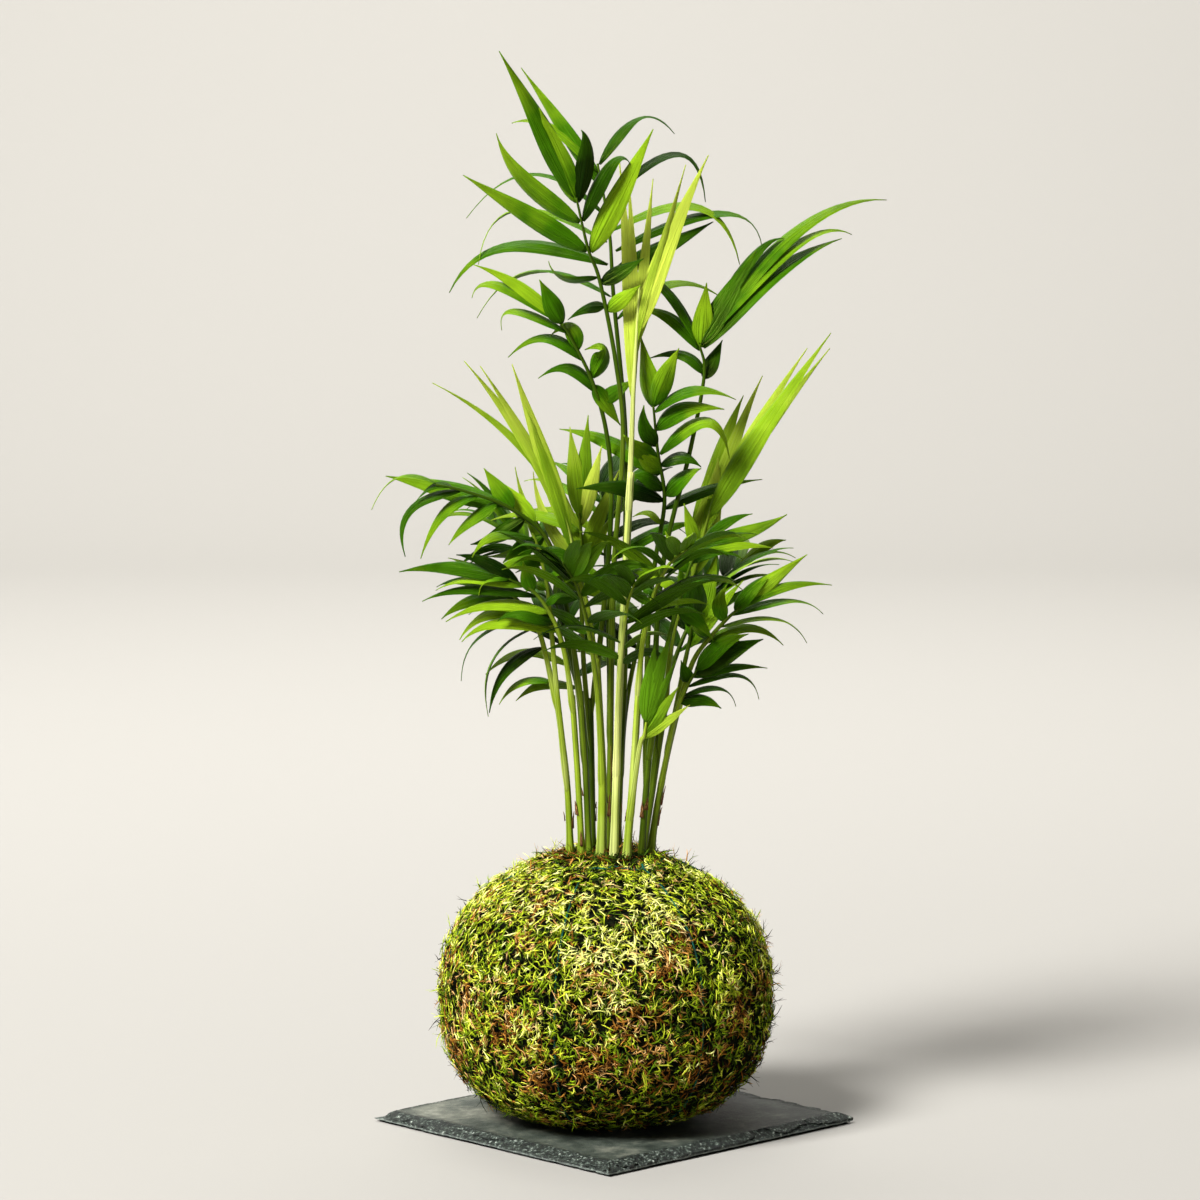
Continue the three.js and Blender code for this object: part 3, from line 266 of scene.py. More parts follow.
# each drawn frond: its name, its cane, the share of the cane where it starts, its stalk's points,
# its lean in depth (for sideways and for upwards), and its leaflets: share of the rachis, tip x,
# tip z, width, and the x and z that the leaflet bends towards
DRAWN_FRONDS = [
    ("tall_front", 6, 0.93, [(0, 2, 243), (4, -3, 300), (1, -7, 333), (-6, -12, 369), (-11, -16, 383),
        (-16, -22, 405)], (0.1, -0.25),
     [(0.61, -20, 352, 6, -12, 359), (0.6, 12, 368, 7), (0.66, 13, 379, 7),
      (0.68, -28, 378, 9, -25, 366), (0.82, -65, 415, 9), (0.81, 17, 435, 10),
      (0.92, -50, 433, 9, -45, 412), (0.92, 7, 419, 8, 1, 431), (0.98, -32, 444, 10),
      (0.98, -14, 434, 8, -9, 429), (0.995, -49, 468, 10, -29, 434)]),
    ("tall_back", 8, 0.93, [(5, 14, 246), (5, 16, 303), (0, 18, 360), (-2, 22, 390), (-7, 28, 418)],
        (0.15, 0.3),
     [(0.56, 48, 359, 7, 25, 377), (0.6, -60, 350, 8, -41, 387), (0.66, 44, 393, 8, 24, 382),
      (0.68, -72, 361, 9, -56, 397), (0.72, 65, 375, 7, 66, 415), (0.75, -59, 373, 7, -54, 417),
      (0.79, 55, 373, 8, 47, 417), (0.83, -65, 393, 7, -36, 433), (0.88, 40, 400, 7, 37, 443),
      (0.93, -41, 460, 7, -21, 433), (0.97, -45, 435, 7, -28, 442), (0.99, 27, 430, 9, 11, 451)]),
    ("centre_spear", 7, 0.93, [(7.6, -10.4, 300), (8.3, -10, 320), (9.6, -9, 343), (11, -9, 367)],
        (0.05, -0.02),
     [(0.45, 2, 424, 6, 7, 374), (0.55, 6, 418, 5, 9, 374), (0.66, 17, 414, 5, 13, 378),
      (0.72, 31, 420, 6, 18, 374), (0.78, 41, 424, 9, 20, 382)]),
    ("right_high", 10, 0.9, [(21, 4, 243), (33, 4, 295), (39, 2, 328), (37, 0, 341)], (0.3, 0.1),
     [(0.73, 47, 343, 7), (0.75, 14, 334, 7, 33, 342), (0.93, 5, 353, 8, 23, 362),
      (0.95, 100, 386, 11, 67, 377), (0.96, -4, 371, 9, 23, 378), (0.97, 40, 368, 9),
      (0.97, 74, 386, 6, 61, 389), (0.98, 120, 402, 8, 80, 407), (0.99, 104, 387, 8, 83, 400),
      (0.995, 62, 382, 10, 48, 360)]),
    ("right_mid", 10, 0.62, [(15, 10, 215), (18, 10, 246), (22, 6, 273), (19, 1, 295), (17, -4, 315)],
        (-0.2, -0.4),
     [(0.52, 8, 266, 6, 15, 271), (0.57, 67, 281, 6, 42, 280), (0.6, -21, 281, 8, 2, 284),
      (0.62, 38, 288, 10, 30, 285), (0.64, 7, 284, 8, 14, 286), (0.7, -23, 303, 9, 0, 301),
      (0.71, 9, 296, 8, 14, 291), (0.76, 3, 304, 8, 9, 296), (0.74, 38, 288, 9, 29, 297),
      (0.78, 50, 291, 8, 45, 325), (0.82, 13, 316, 8, 11, 304), (0.89, 48, 314, 9, 27, 318),
      (0.97, 53, 318, 8, 32, 329), (0.99, 12, 343, 10), (0.995, 28, 341, 9, 22, 330)]),
    ("left_mid", 4, 0.93, [(-4, 10, 229), (-1, 6, 273), (-3, 2, 302), (-9, -4, 325), (-18, -9, 344),
        (-22, -12, 351)], (0.25, -0.1),
     [(0.6, 9, 326, 7), (0.63, -33, 326, 7, -18, 339), (0.66, 3, 306, 7), (0.68, -13, 339, 10, 3, 346),
      (0.74, -46, 335, 7, -29, 354), (0.78, -28, 345, 9, -17, 356), (0.87, -48, 347, 6, -52, 365),
      (0.97, -61, 376, 6, -40, 370), (0.99, -61, 361, 6, -58, 378), (0.995, -32, 370, 9)]),
    ("left_spear", 5, 0.93, [(-11, -9, 227), (-16, -10, 243), (-19, -10, 260), (-25, -11, 280)],
        (0.1, -0.1),
     [(0.64, -38, 316, 6, -27, 288), (0.71, -44, 335, 8, -30, 294), (0.77, -58, 334, 6, -32, 296),
      (0.84, -65, 336, 6, -35, 302), (0.94, -79, 326, 4, -40, 307)]),
    ("left_far", 3, 0.93, [(-18, 2, 213), (-23, -5, 240), (-30, -12, 260), (-46, -18, 273),
        (-64, -22, 280), (-76, -24, 283)], (0.2, 0.2),
     [(0.5, -58, 249, 8, -40, 249), (0.55, -49, 283, 8, -42, 275), (0.59, -62, 256, 8, -49, 258),
      (0.64, -56, 289, 8), (0.67, -99, 285, 9, -75, 281), (0.7, -71, 256, 7, -64, 267),
      (0.77, -83, 250, 7, -75, 277), (0.84, -89, 251, 7, -98, 277), (0.9, -85, 275, 6, -76, 286),
      (0.98, -104, 271, 6, -95, 294)]),
    ("left_low", 1, 0.93, [(-31, -3, 213), (-36, -6, 224), (-43, -9, 233), (-50, -12, 238)], (0.3, 0.3),
     [(0.1, -50, 184, 7, -42, 199), (0.22, -54, 181, 7, -51, 204), (0.36, -54, 180, 7, -61, 209),
      (0.48, -66, 195, 8, -66, 219), (0.6, -67, 213, 8, -59, 228), (0.72, -75, 222, 8, -62, 235),
      (0.85, -77, 236, 7, -66, 243), (0.97, -72, 249, 7, -60, 247)]),
    ("right_spear", 11, 0.93, [(26, 8, 215), (33, 10, 235), (39, 10, 258), (43, 10, 272)], (0.15, 0.1),
     [(0.55, 46, 292, 12, 44, 270), (0.58, 51, 306, 11, 44, 284), (0.62, 59, 322, 10, 46, 298),
      (0.69, 68, 331, 7, 52, 300), (0.74, 76, 316, 6, 57, 300), (0.8, 84, 339, 7, 58, 302),
      (0.86, 94, 347, 10, 62, 303), (0.95, 95, 339, 6, 65, 303)]),
    ("left_upright", 4, 0.78, [(-13, 13, 200), (-14, 9, 232), (-14, 5, 256), (-15, 2, 268)],
        (0.1, 0.05),
     [(0.5, -43, 288, 7, -38, 256), (0.56, 2, 270, 6, -8, 254), (0.6, -35, 286, 8, -33, 262),
      (0.66, 3, 287, 7, -6, 266), (0.72, -27, 292, 7, -24, 270), (0.8, -54, 264, 7, -34, 272),
      (0.86, -5, 298, 7), (0.92, -11, 311, 8), (0.97, -19, 306, 8)]),
    ("right_upright", 12, 0.75, [(30, 4.5, 198), (33, 7, 212), (34, 8, 222)], (0.15, 0.1),
     [(0.55, 57, 238, 7, 46, 228), (0.7, 46, 252, 11, 40, 228), (0.85, 28, 247, 9),
      (0.97, 37, 262, 12)]),
    ("front_small", 9, 0.5, [(11, -19, 168), (13, -20, 174), (14, -21, 180)], (-0.1, -0.05),
     [(0.5, 33, 188, 5), (0.7, 28, 196, 6), (0.85, 27, 208, 5), (0.92, 25, 220, 7, 18, 200),
      (0.97, 18, 216, 8, 15, 196)]),
    ("left_wide", 2, 0.93, [(-21, -14, 208), (-26, -18, 224), (-34, -20, 236), (-45, -20, 242)],
        (0.15, -0.1),
     [(0.4, -66, 213, 6, -54, 228), (0.47, -50, 223, 10, -41, 232), (0.55, -73, 222, 6, -53, 236),
      (0.62, -17, 233, 7, -24, 238), (0.7, -83, 231, 5, -66, 241), (0.76, -39, 250, 7, -38, 243),
      (0.84, -77, 236, 6, -62, 246), (0.9, -68, 252, 6, -56, 252), (0.96, -93, 244, 7, -70, 250),
      (0.99, -58, 234, 6, -57, 245)]),
    ("left_front", 1, 0.6, [(-25, -7, 196), (-27, -11, 220), (-29, -14, 240), (-33, -15, 256),
        (-35, -15, 261)], (-0.1, -0.15),
     [(0.44, -38, 226, 7, -33, 231), (0.5, -8, 232, 6, -15, 236), (0.56, -39, 234, 9, -33, 242),
      (0.62, -1, 236, 6, -11, 254), (0.68, -56, 242, 6, -43, 254), (0.75, -15, 250, 7, -22, 252),
      (0.8, -50, 248, 8, -41, 258), (0.86, -67, 251, 6, -60, 270), (0.92, -22, 262, 6, -27, 264),
      (0.96, -51, 281, 9, -39, 273), (0.99, -44, 289, 7, -36, 277)]),
    ("right_wide", 12, 0.93, [(34, -2, 203), (42, -4, 215), (50, -6, 224), (56, -7, 229)],
        (0.15, -0.05),
     [(0.42, 74, 210, 6, 60, 226), (0.5, 33, 224, 7, 34, 216), (0.6, 84, 211, 6, 75, 230),
      (0.68, 49, 238, 8, 43, 229), (0.76, 91, 224, 6, 80, 237), (0.84, 70, 244, 8, 58, 236),
      (0.92, 84, 251, 7, 69, 241), (0.96, 95, 237, 5, 74, 241)]),
    ("right_low", 12, 0.6, [(26, -4, 178), (31, -6, 192), (36, -7, 201)], (0.1, 0.1),
     [(0.5, 47, 184, 8, 39, 190), (0.58, 53, 184, 5, 50, 198), (0.7, 63, 187, 5, 60, 206),
      (0.78, 29, 205, 6, 31, 199), (0.86, 67, 201, 5, 52, 204), (0.92, 65, 215, 10, 49, 210),
      (0.99, 59, 218, 9, 44, 214)]),
    ("right_front", 10, 0.75, [(21, -11, 202), (27, -13, 228), (33, -12, 247), (39, -10, 259)],
        (0.05, -0.1),
     [(0.44, 12, 228, 7, 13, 247), (0.5, 43, 214, 7, 36, 226), (0.57, 14, 240, 6, 20, 244),
      (0.64, 56, 236, 6, 45, 246), (0.7, 22, 262, 7, 26, 252), (0.76, 56, 249, 6, 45, 258),
      (0.83, 69, 254, 5, 54, 258), (0.88, 30, 274, 6, 33, 264), (0.93, 75, 269, 7, 60, 260),
      (0.98, 60, 269, 5, 50, 268)]),
]
# each arched frond: its name, its cane, its start, the way it leans in degrees, its reach, rise and
# leaflet length, and its pairs of leaflets
ARCHED_FRONDS = [
    ("left_back", 3, 0.7, 160, (44, 108, 46), 8),
    ("front_left", 5, 0.6, 240, (34, 104, 44), 8),
    ("front_middle", 7, 0.5, 283, (34, 90, 42), 8),
    ("front_right", 9, 0.93, 305, (36, 68, 40), 7),
    ("right_back", 11, 0.6, 38, (52, 100, 45), 8),
    ("back_right", 8, 0.6, 62, (46, 84, 44), 5),
    ("back_middle", 6, 0.7, 96, (46, 112, 44), 7),
    ("back_left", 4, 0.55, 124, (46, 84, 44), 5),
]
CANE_ROOT, CANE_CROWN = 86.0, 118.0  # heights of a cane's foot and of where it leaves the soil
STEM = {"root": 1.25, "leaf": 0.95, "tip": 0.5}  # radii of a frond's stalk
# points along and across a blade that are kept clear, and by how much of other blades and of stems
BLADE = {"along": 21, "across": 5, "clear": 2.7, "stem_clear": 1.6}
SWINGS = [0, 8, -8, 16, -16, 24, -24, 33, -33, 42, -42, 52, -52]  # degrees, tried in turn
SHORTENINGS = [1, 0.85, 0.7]  # shares of a leaflet's length, tried in turn
VIEWER = unit(np.array([0.0, -1.0, 0.25]))
RACHIS = (0.42, 0.99)  # the part of an arched frond's stalk that carries leaflets
YOUNG = ["centre_spear", "left_spear", "left_upright", "right_spear", "front_small"]


# ------------------------------------------------------------------ the frond rule
def seeded(seed):
    """The part's own generator, a 32-bit mixer: the same draws as the solids have."""
    word = 0xFFFFFFFF
    state = [seed & word]

    def draw():
        state[0] = (state[0] + 0x6D2B79F5) & word
        t = state[0]
        t = ((t ^ (t >> 15)) * (t | 1)) & word
        t ^= (t + (((t ^ (t >> 7)) * (t | 61)) & word)) & word
        return (t ^ (t >> 14)) / 2**32

    return draw


def cane_path(foot, bend, top):
    return np.array([[*foot, CANE_ROOT], [*foot, CANE_CROWN], bend, top], float)


def arch_path(foot, toward, size):
    """Sideways as t^1.7 of the reach, upwards as 1.5t - 0.5t^2.4 of the rise."""
    t = np.array([0, 0.25, 0.5, 0.75, 1])[:, None]
    reach, height, _ = size
    return foot + level_way(toward) * reach * t**1.7 + UP * height * (1.5 * t - 0.5 * t**2.4)


def level_way(degrees):
    return np.array([np.cos(np.radians(degrees)), np.sin(np.radians(degrees)), 0])


def drawn_leaflets(path, lean, rows):
    """Root on the rachis, bending point and tip; depth follows the frond's lean."""
    made = []
    side, rise = lean
    for place, tip_x, tip_z, width, *bent in rows:
        root = along(path, place)

        def at(x, z):
            return np.array([x, root[1] + side * abs(x - root[0]) + rise * (z - root[2]), z])

        tip = at(tip_x, tip_z)
        bend = at(*bent) if bent else mix(root, tip, 0.5)
        made.append({"root": root, "bend": bend, "tip": tip, "width": width, "face": VIEWER})
    return made


def arched_leaflets(path, toward, longest, pairs, draw):
    """Pairs along the arch: spread from 68 to 24 degrees, longest in the middle, drooping tips."""
    made = []
    out = level_way(toward)
    across = np.array([-out[1], out[0], 0])
    for k in range(2 * pairs):
        side = 1 if k % 2 == 0 else -1
        share = (k + 0.6 * draw()) / (2 * pairs)
        place = mix(*RACHIS, share)
        root, heading = along(path, place), heading_of(path, place)
        face = unit(-np.cross(across, heading))
        spread = np.radians(mix(68, 24, share) + 10 * (draw() - 0.5))
        length = longest * (0.72 + 0.5 * np.sin(np.pi * share**0.8)) * mix(0.85, 1.1, draw())
        way = heading * np.cos(spread) + across * side * np.sin(spread) + face * (0.15 + 0.2 * draw())
        way = unit(way)
        droop = length * mix(0.2, 0.55, draw())
        bend = root + way * 0.55 * length
        tip = root + way * 0.96 * length - UP * droop
        width = mix(5.8, 8.4, draw())
        made.append({"root": root, "bend": bend, "tip": tip, "width": width, "face": face})
    return made


def midline(leaflet, t):
    """(1-t)^2 root + 2t(1-t) bend + t^2 tip."""
    t = np.asarray(t, float)[:, None]
    return (1 - t) ** 2 * leaflet["root"] + 2 * t * (1 - t) * leaflet["bend"] + t * t * leaflet["tip"]


def half_width(width, t):
    """Narrow root, widest near a third, long point: sin(pi t^0.62)^1.15."""
    return 0.5 * width * np.abs(np.sin(np.pi * np.asarray(t) ** 0.62)) ** 1.15


def blade_frame(leaflet, t):
    """Directions across a blade and out of its upper face. The more the midline bends, the more the
    blade turns its edge to the viewer."""
    t = np.asarray(t, float)[:, None]
    root, bend, tip = leaflet["root"], leaflet["bend"], leaflet["tip"]
    heading = unit((bend - root) * (1 - t) + (tip - bend) * t)
    arch = bend - mix(root, tip, 0.5)
    size = np.linalg.norm(arch)
    roll = min(1, 2.2 * size / np.linalg.norm(tip - root)) * np.radians(62)
    upper = leaflet["face"] * np.cos(roll)
    if size > 0.5:
        upper = upper + arch / size * np.sin(roll)
    across = unit(np.cross(heading, upper))
    return across, np.cross(across, heading)


def samples_of(leaflet):
    t = np.arange(1, BLADE["along"] + 1) / BLADE["along"]
    across, _ = blade_frame(leaflet, t)
    wide = half_width(leaflet["width"], t)[:, None] * np.linspace(-1, 1, BLADE["across"])
    return (midline(leaflet, t)[:, None] + across[:, None] * wide[..., None]).reshape(-1, 3)


def obstacle(points, reach):
    return points, reach, points.min(0) - reach, points.max(0) + reach


def too_near(samples, obstacles):
    low, high = samples.min(0), samples.max(0)
    for points, reach, least, most in obstacles:
        if np.any(high < least) or np.any(low > most):
            continue
        apart = samples[:, None] - points
        if np.any(np.einsum("abk,abk->ab", apart, apart) < reach * reach):
            return True
    return False


def swung(leaflet, degrees, shorten):
    """The leaflet swung in depth and shortened about its root."""
    moved = dict(leaflet)
    for key in ("bend", "tip"):
        arm = leaflet[key] - leaflet["root"]
        length = np.linalg.norm(arm)
        arm = arm + INTO_DEPTH * length * np.sin(np.radians(degrees))
        moved[key] = leaflet["root"] + unit(arm) * length * shorten
    return moved


def clear_leaflet(leaflet, obstacles):
    """The first swing and shortening that is clear of all obstacles, if there is one."""
    for shorten, degrees in product(SHORTENINGS, SWINGS):
        trial = swung(leaflet, degrees, shorten)
        if not too_near(samples_of(trial), obstacles):
            return trial
    return None


def planned_fronds():
    """Every frond's leaflets in turn, each clear of the stems and of the fronds before it."""
    wanted = []
    for name, cane, start, points, lean, rows in DRAWN_FRONDS:
        path = np.array([along(cane_path(*CANES[cane - 1][:3]), start), *points], float)
        wanted.append((name, cane, path, drawn_leaflets(path, lean, rows)))
    for name, cane, start, toward, size, pairs in ARCHED_FRONDS:
        path = arch_path(along(cane_path(*CANES[cane - 1][:3]), start), toward, size)
        draw = seeded(100 + len(wanted))
        wanted.append((name, cane, path, arched_leaflets(path, toward, size[2], pairs, draw)))
    steps = np.arange(61) / 60
    stems = [obstacle(along(path, steps), STEM["root"] + BLADE["stem_clear"]) for _, _, path, _ in wanted]
    canes = [obstacle(along(cane_path(*c[:3]), steps), c[3][0] + BLADE["stem_clear"]) for c in CANES]
    placed, planned = [], []
    for k, (name, cane, path, leaflets) in enumerate(wanted):
        others = canes + stems[:k] + stems[k + 1 :] + placed
        kept = [x for x in (clear_leaflet(leaflet, others) for leaflet in leaflets) if x]
        placed = placed + [obstacle(samples_of(leaflet), BLADE["clear"]) for leaflet in kept]
        planned.append((name, cane, path, kept))
    return planned


# ------------------------------------------------------------------ finishes
# the settings of a node that blends two colours, and of one that multiplies a colour
BLEND = {"data_type": "RGBA", "out": 2}
TIMES = {**BLEND, "blend_type": "MULTIPLY"}
SLATE_FACE = [(0.38, "#181e18"), (0.48, "#2c332b"), (0.58, "#434940"), (0.7, "#6b6d60"), (0.84, "#98988b")]
SLATE_CHIPS = [(0.37, "#050906"), (0.46, "#121812"), (0.53, "#262e27"), (0.6, "#5a665b"), (0.68, "#cdd3c8")]


def slate_finish():
    """Hand-split slate: a fine matt grey-green sheet with a whitish film of dust in soft patches, and a
    painted sheen that makes its left part paler; its chipped edges show darker, greener fresh stone with
    pale flakes, and its bruised lowest arris is palest."""
    finish, surface = finish_named("hand_split_slate", Roughness=0.58, Specular_IOR_Level=0.45)
    place = add(finish, "TexCoord", out="Object")
    # the piece's tone is 0 on the face, a half on a chipped edge and 1 on the lowest arris
    worn = add(finish, "Attribute", out="Fac", attribute_name="tone")
    chipped = add(finish, "MapRange", {"Value": worn, "From Max": 0.5})
    arris = add(finish, "MapRange", {"Value": worn, "From Min": 0.55, "From Max": 1.0})
    # cleavage dust lies in soft patches about 20 mm across; a painted sheen adds to it, making the face
    # paler on the left and thinning out towards the right
    dust = add(finish, "TexNoise", {"Vector": place, "Scale": 46.0, "Detail": 8.0, "Roughness": 0.7})
    grain = add(finish, "TexNoise", {"Vector": place, "Scale": 900.0, "Detail": 3.0, "Roughness": 0.7})
    left = {"Value": add(finish, "SeparateXYZ", {"Vector": place}), "From Min": -0.1, "From Max": 0.03}
    painted_sheen = add(finish, "MapRange", {**left, "To Min": 0.19, "To Max": 0.0})
    dust_and_sheen = add(finish, "Math", {0: dust, 1: painted_sheen}, operation="ADD")
    face = add(finish, "ValToRGB", {"Fac": dust_and_sheen}, stops=SLATE_FACE)
    # fresh chips catch light on flakes about 2 mm across, drawn coarser than the mineral grain
    speck = add(finish, "TexNoise", {"Vector": place, "Scale": 560.0, "Detail": 5.0, "Roughness": 0.75})
    chips = add(finish, "ValToRGB", {"Fac": speck}, stops=SLATE_CHIPS)
    bruise = add(finish, "Math", {0: arris, 1: speck}, operation="MULTIPLY")
    edge = add(finish, "Mix", {0: bruise, 6: chips, 7: linear("#a4aea6")}, **BLEND)
    both = add(finish, "Mix", {0: chipped, 6: face, 7: edge}, **BLEND)
    fine = add(finish, "MapRange", {"Value": grain, "To Min": 0.5, "To Max": 1.5})
    add(finish, "Mix", {0: 1.0, 6: both, 7: fine}, to=surface["Base Color"], **TIMES)
    bumps = add(finish, "Math", {0: speck, 1: grain}, operation="ADD")
    rough = add(finish, "MapRange", {"Value": chipped, "To Min": 0.5, "To Max": 1.8})
    height = add(finish, "Math", {0: bumps, 1: rough}, operation="MULTIPLY")
    add(finish, "Bump", {"Strength": 0.7, "Distance": 0.0008, "Height": height}, to=surface["Normal"])
    return finish


# greens from sunlit straw-yellow to the black-green of the gaps, partly the moss's own greens and partly
# painted light and shade, then the browns of dried strands
MOSS_TONES = [
    (0.0, "#f2f196"), (0.12, "#d9dc4c"), (0.25, "#b2bf26"), (0.38, "#7f9812"), (0.5, "#4a6608"),
    (0.6, "#1f3204"), (0.66, "#0a1002"), (0.7, "#261303"), (0.78, "#744510"), (0.88, "#b88132"),
    (1.0, "#e6c488"),
]


def moss_finish():
    """Dried feather moss: matt strands of tiny overlapping leaves. Each strand has one tone of the band,
    painted black with shade at its root and painted brighter with light towards its tip, so that gaps read
    as deep shade."""
    finish, surface = finish_named("feather_moss", Roughness=0.85, Specular_IOR_Level=0.08)
    split = add(finish, "SeparateXYZ", {"Vector": add(finish, "UVMap", uv_map="form")}).node.outputs
    tone = add(finish, "ValToRGB", {"Fac": split["X"]}, stops=MOSS_TONES)
    # painted shade and light along each strand: black at its root, up to about one and a half times its
    # tone towards its tip
    light = add(finish, "MapRange", {"Value": split["Y"], "From Max": 0.62, "To Min": 0.0, "To Max": 1.46})
    add(finish, "Mix", {0: 1.0, 6: tone, 7: light}, to=surface["Base Color"], **TIMES)
    return finish


def mottled_finish(name, roughness, gloss, grain, stops, relief=None):
    """A matt natural surface: one noise, given as (scale, detail), colours it, and where relief is
    given as (strength, depth in metres) it roughens the surface too."""
    finish, surface = finish_named(name, Roughness=roughness, Specular_IOR_Level=gloss)
    place = add(finish, "TexCoord", out="Object")
    noise = add(finish, "TexNoise", {"Vector": place, "Scale": grain[0], "Detail": grain[1]})
    add(finish, "ValToRGB", {"Fac": noise}, stops=stops, to=surface["Base Color"])
    if relief:
        bumps = {"Strength": relief[0], "Distance": relief[1], "Height": noise}
        add(finish, "Bump", bumps, to=surface["Normal"])
    return finish


def blade_finish(name, greens, under, roughness):
    """A living leaf blade under its waxy skin: softly glossy, with fine veins that run its whole length,
    about 0.5 mm apart, a paler underside, and its own green in each blade, painted darker with shade
    towards the foot. Light that passes through the thin blade is drawn as its paler, yellower parts."""
    finish, surface = finish_named(
        name, Roughness=roughness, IOR=1.45, Specular_IOR_Level=0.32, Specular_Tint=linear("#bce840")
    )
    uv = add(finish, "UVMap", uv_map="form")
    split = add(finish, "SeparateXYZ", {"Vector": uv}).node.outputs
    place = add(finish, "TexCoord", out="Object")
    tone = add(finish, "Attribute", out="Fac", attribute_name="tone")
    blotch = add(finish, "TexNoise", {"Vector": place, "Scale": 70.0, "Detail": 2.0})
    uneven = add(finish, "Math", {0: blotch, 1: 0.5, 2: tone}, operation="MULTIPLY_ADD")
    # painted shade: each blade darker towards its foot and paler towards its tip
    share = add(finish, "Math", {0: split["Y"], 1: 0.42, 2: uneven}, operation="MULTIPLY_ADD")
    centred = add(finish, "Math", {0: share, 1: -0.46}, operation="ADD")
    green = add(finish, "ValToRGB", {"Fac": centred}, stops=list(zip((0.1, 0.5, 0.9), greens)))
    # veins: many bands across the blade, hardly changing along it
    stretched = add(finish, "Mapping", {"Vector": uv, "Scale": (38.0, 1.0, 1.0)})
    vein = add(finish, "TexNoise", {"Vector": stretched, "Scale": 1.0, "Detail": 2.0})
    veined = add(finish, "MapRange", {"Value": vein, "To Min": 0.5, "To Max": 1.5})
    ribbed = add(finish, "Mix", {0: 1.0, 6: green, 7: veined}, **TIMES)
    # the second half of the way round a section is the underside
    below = add(finish, "Math", {0: split["X"], 1: 0.5}, operation="GREATER_THAN")
    weight = add(finish, "Math", {0: below, 1: 0.55}, operation="MULTIPLY")
    add(finish, "Mix", {0: weight, 6: ribbed, 7: linear(under)}, to=surface["Base Color"], **BLEND)
    add(finish, "Bump", {"Strength": 0.9, "Distance": 0.0012, "Height": vein}, to=surface["Normal"])
    return finish


def stalk_finish(name, greener):
    """Green petiole and cane skin: smooth and faintly waxy, striped lengthwise by its fibres, its own
    green in each stem, and greener by the given share towards its tip."""
    finish, surface = finish_named(
        name, Roughness=0.42, IOR=1.45, Specular_IOR_Level=0.24, Specular_Tint=linear("#eef48c")
    )
    uv = add(finish, "UVMap", uv_map="form")
    place = add(finish, "TexCoord", out="Object")
    tone = add(finish, "Attribute", out="Fac", attribute_name="tone")
    patch = add(finish, "TexNoise", {"Vector": place, "Scale": 30.0, "Detail": 2.0})
    share = add(finish, "Math", {0: patch, 1: 0.7, 2: -0.35}, operation="MULTIPLY_ADD")
    up = add(finish, "SeparateXYZ", {"Vector": uv}, out="Y")
    aged = add(finish, "Math", {0: up, 1: -greener, 2: share}, operation="MULTIPLY_ADD")
    mixed = add(finish, "Math", {0: tone, 1: aged}, operation="ADD")
    colour = add(finish, "ValToRGB", {"Fac": mixed}, stops=STEM_GREENS)
    stretched = add(finish, "Mapping", {"Vector": uv, "Scale": (10.0, 0.8, 1.0)})
    stripe = add(finish, "TexNoise", {"Vector": stretched, "Scale": 1.0, "Detail": 3.0})
    contrast = {"From Min": 0.36, "From Max": 0.64, "To Min": 0.5, "To Max": 1.3}
    striped = add(finish, "MapRange", {"Value": stripe, **contrast})
    add(finish, "Mix", {0: 1.0, 6: colour, 7: striped}, to=surface["Base Color"], **TIMES)
    add(finish, "Bump", {"Strength": 0.35, "Distance": 0.0004, "Height": stripe}, to=surface["Normal"])
    return finish


def husk_finish():
    """Dry leaf sheath: a papery, matt brown remnant, striped by its darker and paler fibres."""
    finish, surface = finish_named("dry_sheath", Roughness=0.8, Specular_IOR_Level=0.2)
    uv = add(finish, "UVMap", uv_map="form")
    stretched = add(finish, "Mapping", {"Vector": uv, "Scale": (30.0, 3.0, 1.0)})
    fibre = add(finish, "TexNoise", {"Vector": stretched, "Scale": 1.0, "Detail": 3.0})
    browns = [(0.34, "#1f1107"), (0.48, "#4e2f14"), (0.6, "#8c6232"), (0.72, "#c3a468")]
    add(finish, "ValToRGB", {"Fac": fibre}, stops=browns, to=surface["Base Color"])
    return finish


# ------------------------------------------------------------------ slate tile
TILE = {"side": 150.0, "turn": 43.8, "broken_reach": 12.0, "broken_depth": 5.0, "least_inset": 0.8}
# the edge's profile: heights, how far each is set in, and how worn each is
EDGE_LEVELS = [0, 0.5, 0.9, 1.2, 1.5, 1.9, 2.3, 2.7, 3.1, 3.5, 3.9, 4.3, 4.7, TILE_TOP]
EDGE_INSETS = [4.2, 3.0, 1.2, 0.25, 0.2, 0.7, 1.3, 1.9, 2.6, 3.3, 4.1, 5.0, 6.0, 7.0]
EDGE_WEAR = [(0.0, 1.1, 1.25, 1.6, 1.9), (1.0, 1.0, 2.0, 1.5, 1.0)]  # heights, wear
TERRACE = {"step": 1.7, "first": 0.4, "sharp": 0.8}
EDGE_POINTS, TOP_RINGS = 560, 50  # points round the outline, rings over the top


